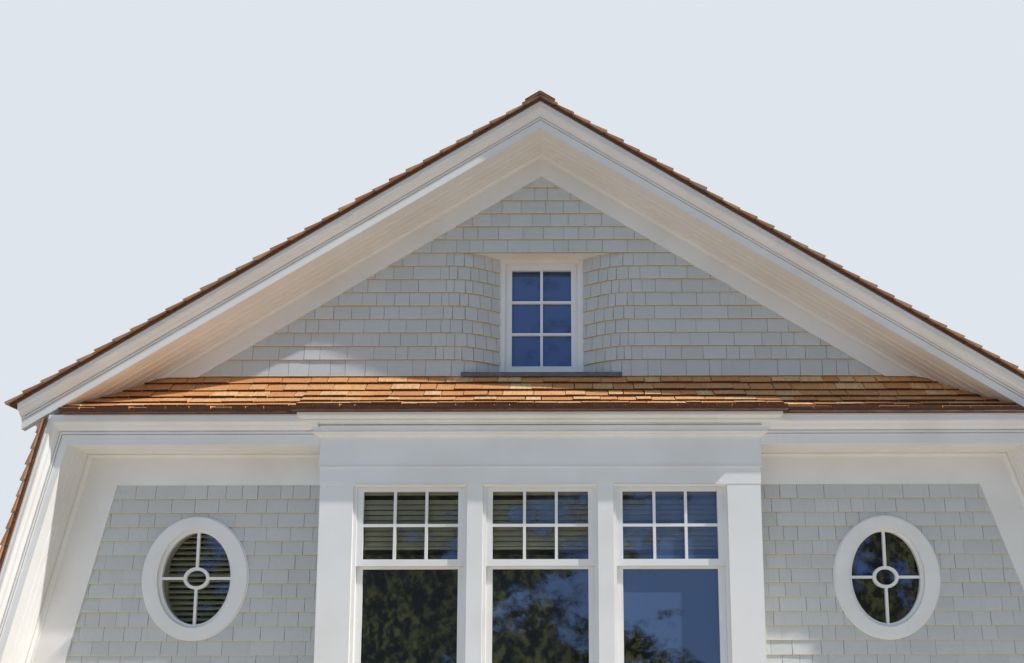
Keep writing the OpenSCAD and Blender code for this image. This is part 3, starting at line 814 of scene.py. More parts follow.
class Line:
    """A broken line, measured along its length."""

    def __init__(self, points: Sequence[Flat]) -> None:
        """Measures the line.

        Args:
            points: its points in order.
        """
        self.points = points
        self.lengths = [0.0]
        for p, q in zip(points, points[1:]):
            self.lengths.append(self.lengths[-1] + math.dist(p, q))

    @property
    def total(self) -> float:
        """Returns the whole length."""
        return self.lengths[-1]

    def at(self, length: float) -> Flat:
        """Finds the point at a length.

        Args:
            length: how far along the line, or below 0 before its start along the first axis.

        Returns:
            The point.
        """
        if length < 0:
            return self.points[0][0] - length, self.points[0][1]
        last = len(self.lengths) - 1
        k = next((i for i in range(1, last) if self.lengths[i] >= length), last)
        f = (length - self.lengths[k - 1]) / (self.lengths[k] - self.lengths[k - 1])
        return tuple(p + (q - p) * f for p, q in zip(self.points[k - 1], self.points[k]))


def course(rng: random.Random, start: float, end: float, mean: float, spread: float,
           last: Sequence[float] = ()) -> list[Flat]:
    """Divides one course into shingles.

    Args:
        rng: seeded source of widths.
        start: where the course starts.
        end: where it ends.
        mean: mean width.
        spread: most that a width differs from the mean.
        last: joints of the course below, which this course's joints keep clear of.

    Returns:
        Rows of start and end, one for each shingle.
    """
    joints = [start]
    while end - joints[-1] > mean + spread:
        for _ in range(JOINT_TRIES):
            joint = joints[-1] + mean + rng.uniform(-spread, spread)
            if all(abs(joint - other) > JOINT_CLEAR * mean for other in last):
                break
        joints.append(joint)
    if end - joints[-1] < LEAST_SHARE * mean and len(joints) > 1:
        joints.pop()
    joints.append(end)
    return list(zip(joints, joints[1:]))


@dataclass
class WallCourses:
    """Painted shingles on the gable wall, the two side walls and the curved cheeks.

    Attributes:
        finish: their paint.
        exposure: distance between the courses of the gable and the cheeks.
        side_rows: number of courses on a side wall.
        side_exposure: distance between those.
        lap: how far a shingle runs up behind the next course.
        gap: widest gap between two shingles.
        mean: mean width on the flat.
        spread: most that a width differs from it.
        cheek_rows: number of courses on a cheek.
        cheek_mean: mean width on a cheek.
        cheek_spread: most that a width differs from it.
        cheek_pull: how far the curve of a cheek is pulled in at its corner.
        wrap: most that a cheek's course runs on over the flat of the wall.
        foot_drop: how far the lowest course hangs over the pent roof.
        behind_rake: how far a course runs on behind the raking frieze.
        apex_half: half width under which no course is laid at the apex.
        behind_side: how far a course runs on behind the frieze of a lower slope.
        floor_gap: gap between the lowest course and the floor line.
        strip: width of the strips that a shingle is cut into at an oval.
        least: shortest strip that is laid.
    """

    finish: Material
    exposure: float = 0.127
    side_rows: int = 19
    side_exposure: float = (HOUSE.soffit - HOUSE.frieze_depth) / side_rows
    lap: float = 0.020
    gap: float = 0.0050
    mean: float = 0.180
    spread: float = 0.075
    cheek_rows: int = 9
    cheek_mean: float = 0.088
    cheek_spread: float = 0.030
    cheek_pull: float = 0.13
    wrap: float = 0.15
    foot_drop: float = 0.028
    behind_rake: float = 0.03
    apex_half: float = 0.10
    behind_side: float = 0.09
    floor_gap: float = 0.004
    strip: float = 0.020
    least: float = 0.004

    def _spot(self, rng: random.Random, x0: float, x1: float, z0: float, z1: float) -> Spot:
        """Draws one shingle on the wall face.

        Args:
            rng: seeded source of its gap, thickness and tone.
            x0: where it starts.
            x1: where it ends.
            z0: height of its butt.
            z1: height of the next butt.

        Returns:
            The shingle.
        """
        width = x1 - x0 - self.gap * rng.uniform(0.25, 1.0)
        return Spot(((x0 + x1) / 2, 0, z0), WALL_AXES, width, z1 - z0 + self.lap,
                    rng.uniform(0.9, 1.12), rng.random())

    def _field(self, name: str, seed: int) -> ShingleField:
        """Returns an empty field of wall shingles."""
        return ShingleField(name, self.finish, butt=0.0215, tip=0.0045, wander=0.0016, tilt=0.004,
                            seed=seed, slot="wall_paint")

    def gable(self) -> ShingleField:
        """Lays the courses of the gable wall, open at the recess.

        Returns:
            The field.
        """
        rng, house, laid = random.Random(11), HOUSE, self._field("gable_courses", 3)
        foot = house.apex - house.rake_frieze / math.cos(house.pitch)
        joints: list[float] = []
        row = 0
        while True:
            z = house.pent_top + row * self.exposure
            end = (foot - z) / math.tan(house.pitch) + self.behind_rake
            if end < self.apex_half:
                break
            inside = z + 0.5 * self.exposure < house.recess_head
            left, right = (house.recess_half + self._reach(side, row) for side in Side)
            spans = [(-end, -left), (right, end)] if inside else [(-end, end)]
            made = [pair for a, b in spans if b > a
                    for pair in course(rng, a, b, self.mean, self.spread, joints)]
            joints = [a for a, _ in made]
            foot_z = z if row else z - self.foot_drop
            laid.spots += [self._spot(rng, a, b, foot_z, z + self.exposure) for a, b in made]
            row += 1
        return laid

    def _reach(self, side: Side, row: int) -> float:
        """Returns how far a cheek's course runs on over the flat of the wall."""
        return random.Random(97 * row + 13 * side.value).uniform(0.0, self.wrap)

    def cheeks(self) -> ShingleField:
        """Lays the courses that follow the curved cheeks.

        Returns:
            The field.
        """
        rng, house, laid = random.Random(23), HOUSE, self._field("cheek_courses", 5)
        corner, end = (house.recess_half, 0.0), (house.casing_half, house.recess_depth)
        pull = (house.recess_half - self.cheek_pull, 0.0)
        line = Line([bend(corner, pull, end, i / 60) for i in range(61)])
        for side in Side:
            joints: list[float] = []
            for row in range(self.cheek_rows):
                z = house.pent_top + row * self.exposure
                made = course(rng, -self._reach(side, row), line.total, self.cheek_mean,
                              self.cheek_spread, joints)
                joints = [a for a, _ in made]
                z -= 0.0 if row else self.foot_drop
                tall = min(self.exposure + self.lap, house.recess_head - z)
                for a, b in made:
                    (xa, ya), (xb, yb) = line.at(a), line.at(b)
                    across = Vector((side.value * (xa - xb), ya - yb, 0)) * side.value
                    width = across.length
                    across.normalize()
                    inward = Vector((-across.y, across.x, 0))
                    laid.spots.append(Spot((side.value * (xa + xb) / 2, (ya + yb) / 2, z),
                                           (tuple(across), tuple(inward), (0, 0, 1)),
                                           width - self.gap * 0.6, tall, rng.uniform(0.9, 1.1), rng.random()))
        return laid

    def side(self, side: Side) -> ShingleField:
        """Lays the courses of one side wall, open at its oval window.

        Args:
            side: which wall.

        Returns:
            The field.
        """
        rng, house = random.Random(31 + side.value), HOUSE
        laid = self._field(f"wall_courses_{side.name.lower()}", 9)
        joints: list[float] = []
        for row in range(self.side_rows):
            z1 = house.soffit - house.frieze_depth - row * self.side_exposure
            z0 = max(z1 - self.side_exposure, self.floor_gap)
            frieze = house.lower_frieze / math.cos(house.lean(side))
            end = house.slope_x(side, z0) - frieze + self.behind_side
            made = course(rng, house.bay_half, end, self.mean, self.spread, joints)
            joints = [a for a, _ in made]
            for a, b in made:
                whole = self._spot(rng, a, b, z0, z1)
                laid.spots += self._round_oval(whole, side, a, b, z0, z1)
        return laid

    def _round_oval(self, whole: Spot, side: Side, a: float, b: float, z0: float,
                    z1: float) -> Iterator[Spot]:
        """Cuts a shingle back to the middle of the oval casing, in narrow strips.

        Args:
            whole: the shingle before it is cut.
            side: which wall.
            a: half width where it starts.
            b: half width where it ends.
            z0: height of its butt.
            z1: height of the next butt.

        Yields:
            The shingle, or the strips that are left of it.
        """
        house, (half_x, half_z) = HOUSE, HOUSE.oval_reach
        top = z1 + self.lap
        near = max(0.0, max(a - house.oval_x, house.oval_x - b)) / half_x
        level = max(0.0, max(z0 - house.oval_z, house.oval_z - top)) / half_z
        width = whole.width
        if near ** 2 + level ** 2 >= 1.0:
            yield replace(whole, at=(side.value * (a + b) / 2, 0, z0))
            return
        count = max(1, round(width / self.strip))
        for i in range(count):
            x = (a + b - width) / 2 + width * (i + 0.5) / count
            out = abs(x - house.oval_x) / half_x
            reach = half_z * math.sqrt(max(0.0, 1 - out * out))
            low, high = house.oval_z - reach, house.oval_z + reach
            left_over = [(z0, min(top, low)), (max(z0, high), top)] if reach else [(z0, top)]
            for start, stop in left_over:
                if stop - start > self.least:
                    yield replace(whole, at=(side.value * x, 0, start), width=width / count,
                                  length=stop - start)


@dataclass
class CedarRoofs:
    """Cedar courses and their boarding on all the roofs.

    Attributes:
        finish: cedar of the slopes and the ridge.
        pent_finish: cedar of the pent roof.
        boards: wood of the boarding.
        board_thick: thickness of the boarding.
        gap: widest gap between two shingles.
        mean: mean width on the slopes.
        spread: most that a width differs from it.
        lap: how far a shingle runs up under the next course.
        edge_gap: how far the courses keep from the front edge, and twice as far from the back.
        upper_exposure: distance between the courses of an upper slope.
        lower_exposure: the same on a lower slope.
        foot_gap: gap between the lowest courses and the floor line.
        knee_gap: how far the lower courses end below the upper ones.
        knee_cut: how far the lower boarding does.
        rim_back: how far the upper boarding keeps from the tips of the shingles.
        front_lap: how far the shingles stand over the boarding at the front.
        cap_width: width of a ridge cap.
        cap_middle: its middle, down the slope from the ridge.
        cap_exposure: distance between the caps.
        cap_lift: how far they lie over the boarding.
        cap_front: how far they stand over the front, and keep from the back.
        pent_rows: number of courses on the pent roof.
        pent_mean: mean width there.
        pent_spread: most that a width differs from it.
        pent_lap: how far such a shingle runs up under the next course.
        pent_drop: how far the courses lie under the pent roof's line, square to it.
        pent_back: how far their butts keep from its edge.
        board_drop: how far the pent roof's boarding lies under that line.
        board_back: how far the boarding keeps from its edge.
        under_course: shift of the short second layer below the lowest course.
        pent_end: how far the boarding runs past the knees.
        pent_stations: where that boarding is bent to stay under the raking soffit.
        far: half width beyond the whole front.
        bars: boarding kept so far.
    """

    finish: Material
    pent_finish: Material
    boards: Material
    board_thick: float = 0.018
    gap: float = 0.010
    mean: float = 0.150
    spread: float = 0.055
    lap: float = 0.02
    edge_gap: float = 0.004
    upper_exposure: float = 0.169
    lower_exposure: float = 0.140
    foot_gap: float = 0.009
    knee_gap: float = 0.090
    knee_cut: float = 0.085
    rim_back: float = 0.025
    front_lap: float = 0.030
    cap_width: float = 0.152
    cap_middle: float = 0.070
    cap_exposure: float = 0.1678
    cap_lift: float = 0.016
    cap_front: float = 0.006
    pent_rows: int = 6
    pent_mean: float = 0.205
    pent_spread: float = 0.085
    pent_lap: float = 0.018
    pent_drop: float = 0.026
    pent_back: float = 0.010
    board_drop: float = 0.028
    board_back: float = 0.014
    under_course: Point = (0.04, 0.006, -0.020)
    pent_end: float = 0.09
    pent_stations: tuple[float, ...] = (-3.1, -2.6, 2.6, 3.1)
    far: float = 9.0
    bars: list[list[list[Point]]] = field(default_factory=list)

    def _field(self, name: str, seed: int, finish: Material | None = None,
               butt: float = 0.026) -> ShingleField:
        """Returns an empty field of cedar shingles."""
        return ShingleField(name, finish or self.finish, butt, tip=0.006, wander=0.0055, tilt=0.014,
                            seed=seed, slot="cedar")

    def _slope(self, laid: ShingleField, rng: random.Random, origin: Vector, up: Vector, out: Vector,
               run: float, exposure: float, front: float) -> None:
        """Covers one flat slope with courses that run from the front to the back.

        Args:
            laid: field that the shingles go into.
            rng: seeded source of widths.
            origin: eave line, at the front of the building, on the boarding.
            up: direction up the slope.
            out: direction square out of the slope.
            run: length of the slope.
            exposure: distance between courses.
            front: how far the courses stand in front of the wall face.
        """
        axes = tuple(tuple(axis) for axis in ((-out).cross(up), -out, up))
        start, end = self.edge_gap - front, HOUSE.depth - 2 * self.edge_gap
        joints: list[float] = []
        rows = max(1, round(run / exposure))
        step = run / rows
        for row in range(rows):
            made = course(rng, start, end, self.mean, self.spread, joints)
            joints = [a for a, _ in made]
            tall = step + self.lap if row < rows - 1 else step
            for a, b in made:
                foot = origin + up * (row * step) + Vector((0, (a + b) / 2, 0))
                width = b - a - self.gap * rng.random()
                laid.spots.append(Spot(tuple(foot), axes, width, tall, rng.uniform(0.80, 1.18), rng.random()))

    def upper(self, side: Side) -> ShingleField:
        """Lays one upper slope and keeps its boarding.

        Args:
            side: which slope.

        Returns:
            The field.
        """
        house, s, rng = HOUSE, side.value, random.Random(41 + side.value)
        tip = house.eave(side) + house.eave_overhang
        cos, sin = math.cos(house.pitch), math.sin(house.pitch)
        up, out = Vector((-s * cos, 0, sin)), Vector((s * sin, 0, cos))
        high = house.rake_height + self.board_thick
        origin = Vector((s * tip, 0, house.rake_z(tip, high)))
        laid = self._field(f"upper_courses_{side.name.lower()}", 13)
        self._slope(laid, rng, origin, up, out, tip / cos, self.upper_exposure, house.upper_reach)
        rim = tip - self.rim_back
        section = [(0, house.rake_z(0, house.rake_height)), (s * rim, house.rake_z(rim, house.rake_height)),
                   (s * rim, house.rake_z(rim, high)), (0, house.rake_z(0, high))]
        self._board(section, -house.upper_reach + self.front_lap, house.depth)
        return laid

    def lower(self, side: Side) -> ShingleField:
        """Lays one lower slope and keeps its boarding.

        Args:
            side: which slope.

        Returns:
            The field.
        """
        house, s, rng = HOUSE, side.value, random.Random(51 + side.value)
        lean = house.lean(side)
        up = Vector((-s * math.sin(lean), 0, math.cos(lean)))
        out = Vector((s * math.cos(lean), 0, math.sin(lean)))
        high = house.rake_height + self.board_thick
        foot = house.slope_x(side, 0) + high / math.cos(lean)
        knee = house.knee_x(side, high)
        run = house.rake_z(knee) / math.cos(lean)
        laid = self._field(f"lower_courses_{side.name.lower()}", 17)
        start = Vector((s * foot, 0, 0)) + up * self.foot_gap
        self._slope(laid, rng, start, up, out, run - self.knee_gap, self.lower_exposure,
                    house.lower_reach - 0.002)
        base = house.slope_x(side, 0) + house.rake_height / math.cos(lean)
        inner = house.knee_x(side, house.rake_height)
        top, inner_top = (house.rake_z(x) - self.knee_cut for x in (knee, inner))
        slack = self.knee_cut * math.tan(lean)
        section = [(s * base, 0), (s * foot, 0), (s * (knee + slack), top), (s * (inner + slack), inner_top)]
        self._board(section, -house.lower_reach + self.front_lap, house.depth)
        return laid

    def ridge(self) -> ShingleField:
        """Lays the caps along the ridge, one row on each slope.

        Returns:
            The field.
        """
        house, rng, laid = HOUSE, random.Random(61), self._field("ridge_caps", 19, butt=0.018)
        cos, sin = math.cos(house.pitch), math.sin(house.pitch)
        high = house.rake_height + self.board_thick + self.cap_lift
        half = self.cap_middle * cos
        for side in Side:
            out, along = Vector((side.value * sin, 0, cos)), Vector((0, 1, 0))
            axes = tuple(tuple(axis) for axis in ((-out).cross(along), -out, along))
            for row in range(int((house.depth + house.upper_reach) / self.cap_exposure)):
                y = -house.upper_reach - self.cap_front + row * self.cap_exposure
                tall = min(self.cap_exposure + self.lap, house.depth - self.cap_front - y)
                laid.spots.append(Spot((side.value * half, y, house.rake_z(half, high)), axes,
                                       self.cap_width, tall, rng.uniform(0.9, 1.1), rng.random()))
        return laid

    def _curve(self, reach: float, drop: float) -> list[Flat]:
        """Draws the pent roof's line, out from the wall and up.

        Args:
            reach: how far it stands out from the wall face.
            drop: how far the line is lowered, square to itself.

        Returns:
            The points, from the wall outwards.
        """
        house = HOUSE
        rise = house.pent_top - house.level_top
        start, pull, end = ((0.0, house.pent_top), (reach * 0.41, house.pent_top - 0.66 * rise),
                            (reach, house.level_top + house.pent_butt + 0.024))
        line = []
        for i in range(49):
            t = i / 48
            dx, dz = (2 * ((1 - t) * (q - p) + t * (r - q)) for p, q, r in zip(start, pull, end))
            size = math.hypot(dx, dz)
            x, z = bend(start, pull, end, t)
            line.append((x + drop * dz / size, z - drop * dx / size))
        return line

    def pent(self) -> ShingleField:
        """Lays the courses of the pent roof and keeps its boarding.

        Returns:
            The field.
        """
        house, rng = HOUSE, random.Random(71)
        laid = self._field("pent_courses", 29, self.pent_finish, 0.027)
        for reach, x0, x1 in ((house.pent_bay_reach, -house.pent_bay_half, house.pent_bay_half),
                              (house.lower_reach, -self.far, -house.pent_bay_half),
                              (house.lower_reach, house.pent_bay_half, self.far)):
            line = Line(self._curve(reach - self.pent_back, self.pent_drop)[::-1])
            joints: list[float] = []
            step = (line.total - 0.004) / self.pent_rows
            for row in range(self.pent_rows):
                foot = line.at(row * step)
                head = line.at(min(line.total, (row + 1) * step + self.pent_lap))
                left, right = (self._pent_end(side, foot[1], row) for side in Side)
                made = course(rng, max(x0, -left), min(x1, right), self.pent_mean, self.pent_spread, joints)
                joints = [a for a, _ in made]
                for a, b in made:
                    whole = self._pent_spot(rng, (a + b) / 2, foot, head, b - a)
                    laid.spots.append(whole)
                    if row == 0:
                        at = tuple(p + q for p, q in zip(whole.at, self.under_course))
                        laid.spots.append(replace(whole, at=at, length=0.1, thick=0.9, tone=rng.random()))
            self._pent_boards(reach, x0, x1)
        return laid

    def _pent_spot(self, rng: random.Random, x: float, foot: Flat, head: Flat, room: float) -> Spot:
        """Draws one shingle of the pent roof.

        Args:
            rng: seeded source of its gap, thickness and tone.
            x: its middle.
            foot: its butt, out from the wall and up.
            head: its upper end.
            room: width that it has.

        Returns:
            The shingle.
        """
        up = Vector((0, foot[0] - head[0], head[1] - foot[1]))
        tall = up.length
        up.normalize()
        inward = Vector((0, up.z, -up.y))
        width = room - self.gap * rng.uniform(0.2, 1.2)
        return Spot((x, -foot[0], foot[1]), (tuple(inward.cross(up)), tuple(inward), tuple(up)),
                    width, tall, rng.uniform(0.80, 1.22), rng.random())

    @staticmethod
    def _pent_end(side: Side, z: float, row: int) -> float:
        """Finds where a course of the pent roof ends under the raking soffit.

        Args:
            side: which end.
            z: height of the course's butts.
            row: its number from the edge.

        Returns:
            The half width there.
        """
        house = HOUSE
        under = (house.apex - z) / math.tan(house.pitch)
        return under - 0.12 if row == 0 else min(under + 0.08, house.knee_x(side, house.rake_height))

    def _pent_boards(self, reach: float, x0: float, x1: float) -> None:
        """Keeps the boarding under one stretch of the pent roof.

        Args:
            reach: how far the roof stands out from the wall face.
            x0: where the stretch starts.
            x1: where it ends.
        """
        house = HOUSE
        edge, floor = reach - self.board_back, house.level_top + 0.001
        section = self._curve(edge, self.board_drop)[::6] + [(edge, floor), (0.0, floor)]
        first = max(x0, -house.knee_x(Side.LEFT) - self.pent_end)
        last = min(x1, house.knee_x(Side.RIGHT) + self.pent_end)
        rows = []
        for x in (first, *(x for x in self.pent_stations if first < x < last), last):
            limit = house.rake_z(x) - 0.001
            # past the soffit the points are kept a hair apart, so that no face falls flat
            rows.append([(x, -out, min(z, max(limit, floor + 0.0002 + 0.00001 * i)))
                         for i, (out, z) in enumerate(section)])
        self.bars.append(rows)

    def _board(self, section: Sequence[Flat], y0: float, y1: float) -> None:
        """Keeps one slab of boarding with an outline in X and Z, from y0 to y1."""
        self.bars.append([[(x, y, z) for x, z in section] for y in (y0, y1)])

    def boarding(self) -> Object:
        """Returns the boarding of all the roofs as one piece."""
        return ride(solid("roof_boarding", self.bars, self.boards), "timber")


@dataclass
class SoffitBoards:
    """Narrow matched boards with a groove at each joint, mitred at the corners."""

    rake_finish: Material
    level_finish: Material
    count: int = 5
    thick: float = 0.018
    groove: float = 0.009
    eave_inset: float = 0.14

    def _section(self, reach: float) -> list[Flat]:
        """Draws the section of the boards, out from the wall and up from the soffit plane.

        Args:
            reach: how far they reach out.

        Returns:
            The outline, in order.
        """
        width = reach / self.count
        line: list[Flat] = []
        for i in range(self.count):
            a, b, g = i * width, (i + 1) * width, self.groove
            line += [(a + g, 0.0), (b - g, 0.0), (b, g)]
        return line[:-1] + [(reach, 0.0), (reach, self.thick), (0.0, self.thick), (0.0, 0.0)]

    def raking(self) -> Object:
        """Makes the boards under both upper slopes.

        Returns:
            The piece.
        """
        house = HOUSE
        section = self._section(house.rake_reach - house.board_back)
        left, right = (house.eave(side) - self.eave_inset for side in Side)
        rows = [[(x, -out, house.rake_z(x, h)) for out, h in section] for x in (-left, 0.0, right)]
        return ride(solid("rake_boards", [rows], self.rake_finish), "trim_paint", ["rake_soffit"])

    def level(self) -> Object:
        """Makes the level boards beside the bay, turned down both lower slopes.

        Returns:
            The piece.
        """
        house, bars = HOUSE, []
        section = self._section(house.fascia_reach - house.board_back)
        for side in Side:
            s, lean = side.value, house.lean(side)
            inner = [(s * (house.bay_half + 0.01), -out, house.soffit + h) for out, h in section]
            turn = [(s * (house.slope_x(side, house.soffit + h) + h / math.cos(lean)), -out, house.soffit + h)
                    for out, h in section]
            foot = [(s * (house.slope_x(side, 0) + h / math.cos(lean)), -out, 0.0) for out, h in section]
            bars.append([inner, turn, foot])
        return ride(solid("level_boards", bars, self.level_finish), "trim_paint", ["side_soffits"])


@dataclass
class BayMouldings:
    """Thin mouldings of the bay.

    Two fillets at the foot of the crown and a cove with a bead over the lower edge of the fascia
    are mitred at the corners, and a sloping bead closes the head of each window. The sections run
    out from the wall face and up from the floor.
    """

    finish: Material
    lower: tuple[Flat, ...] = ((0.462, 2.788), (0.480, 2.788), (0.480, 2.796), (0.462, 2.796))
    upper: tuple[Flat, ...] = ((0.496, 2.806), (0.522, 2.806), (0.524, 2.814), (0.496, 2.814))
    bed: tuple[Flat, ...] = ((0.404, 2.676), (0.418, 2.676), (0.418, 2.682), (0.422, 2.692), (0.434, 2.702),
                             (0.450, 2.708), (0.450, 2.713), (0.462, 2.717), (0.467, 2.721), (0.469, 2.727),
                             (0.466, 2.732), (0.455, 2.734), (0.404, 2.734))
    head: tuple[Flat, ...] = ((0.370, 2.272), (0.408, 2.284), (0.408, 2.288), (0.370, 2.288))
    windows: tuple[Flat, ...] = ((-1.570, -0.612), (-0.482, 0.482), (0.612, 1.570))
    base_half: float = 1.450
    back: float = 0.400

    def build(self) -> Object:
        """Makes the mouldings, which turn back to the level cornice at each side.

        Returns:
            The piece.
        """
        bars = []
        for section in (self.lower, self.upper, self.bed):
            bars.append([[(side * (self.base_half + out), -max(out * front, self.back), z)
                          for out, z in section] for side, front in ((-1, 0), (-1, 1), (1, 1), (1, 0))])
        for ends in self.windows:
            bars.append([[(x, -out, z) for out, z in self.head] for x in ends])
        return ride(solid("bay_mouldings", bars, self.finish), "trim_paint")


@dataclass
class BayBlinds:
    """Slatted blinds drawn halfway down inside the upper sashes of the bay."""

    finish: Material
    centres: tuple[float, ...] = (-1.091, 0.0, 1.091)
    width: float = 0.88
    head: float = 2.262
    foot: float = 1.770
    pitch: float = 0.045
    back: float = -0.290
    tilt: float = math.radians(64)
    slat: float = 0.044
    head_rail: float = 0.045
    foot_rail: float = 0.020

    def rows(self) -> ShingleField:
        """Lays the slats with a head rail and a foot rail for each window.

        Returns:
            The field.
        """
        laid = ShingleField("bay_blinds", self.finish, butt=0.002, tip=0.002, wander=0.0006,
                            tilt=0.0004, seed=37, slot="shutter")
        lean = ((1, 0, 0), (0, math.sin(self.tilt), -math.cos(self.tilt)),
                (0, math.cos(self.tilt), math.sin(self.tilt)))
        rng = random.Random(83)
        for x in self.centres:
            for height, tall, back, thick, tone in (
                    (self.head - self.head_rail, self.head_rail, 0.030, 15, 0.5),
                    (self.foot - self.foot_rail, self.foot_rail, 0.022, 9, 0.4)):
                at = (x, self.back + back, height)
                laid.spots.append(Spot(at, WALL_AXES, self.width, tall, thick, tone))
            for i in range(int((self.head - 0.050 - self.foot) / self.pitch)):
                at = (x, self.back, self.foot + 0.006 + i * self.pitch)
                laid.spots.append(Spot(at, lean, self.width, self.slat, 1.5, rng.random()))
        return laid


class Trim:
    """Gives every CAD node that stays in view its finish."""

    LEVEL = ("bay_frieze", "bay_cornice", "bay_apron", "side_cornice_left", "side_cornice_right",
             "side_frieze_left", "side_frieze_right", "recess_soffit", "eave_returns")
    UPRIGHT = ("bay_corner_boards", "bay_mullions", "bay_frames", "bay_upper_sashes", "bay_lower_sashes",
               "oval_casing_left", "oval_casing_right", "oval_sash_left", "oval_sash_right",
               "gable_casing", "gable_sash")
    RAKED = ("rake_cornice", "rake_frieze")
    WALLS = ("front_wall_left", "front_wall_right", "gable_wall", "recess_cheeks", "party_wall")
    TIMBER = ("floor_deck", "attic_floor", "upper_roof", "lower_slope_left", "lower_slope_right")

    def __init__(self, finishes: dict[str, Material]) -> None:
        """Keeps the finishes by name."""
        self.finishes = finishes

    def dress(self) -> None:
        """Puts the finishes on the nodes."""
        rows = {"level": self.LEVEL, "upright": self.UPRIGHT, "raked": self.RAKED, "walls": self.WALLS,
                "timber": self.TIMBER, "shutter": ("oval_shutter",), "flashing": ("gable_flashing",),
                "gable_glass": ("gable_glass",), "bay_glass": ("bay_glass",), "oval_glass": ("oval_glass",)}
        for key, nodes in rows.items():
            for node in nodes:
                piece = frame["nodes"][node]
                if not piece.material_slots:
                    piece.data.materials.append(self.finishes[key])
                for slot in piece.material_slots:
                    slot.material = self.finishes[key]
            log.info("%s on %d nodes", key, len(nodes))


@dataclass(frozen=True)
class Sun:
    """One distant lamp: the way it shines, its strength, its angle in degrees and its colour."""

    name: str
    aim: Point
    power: float
    angle: float
    colour: Colour


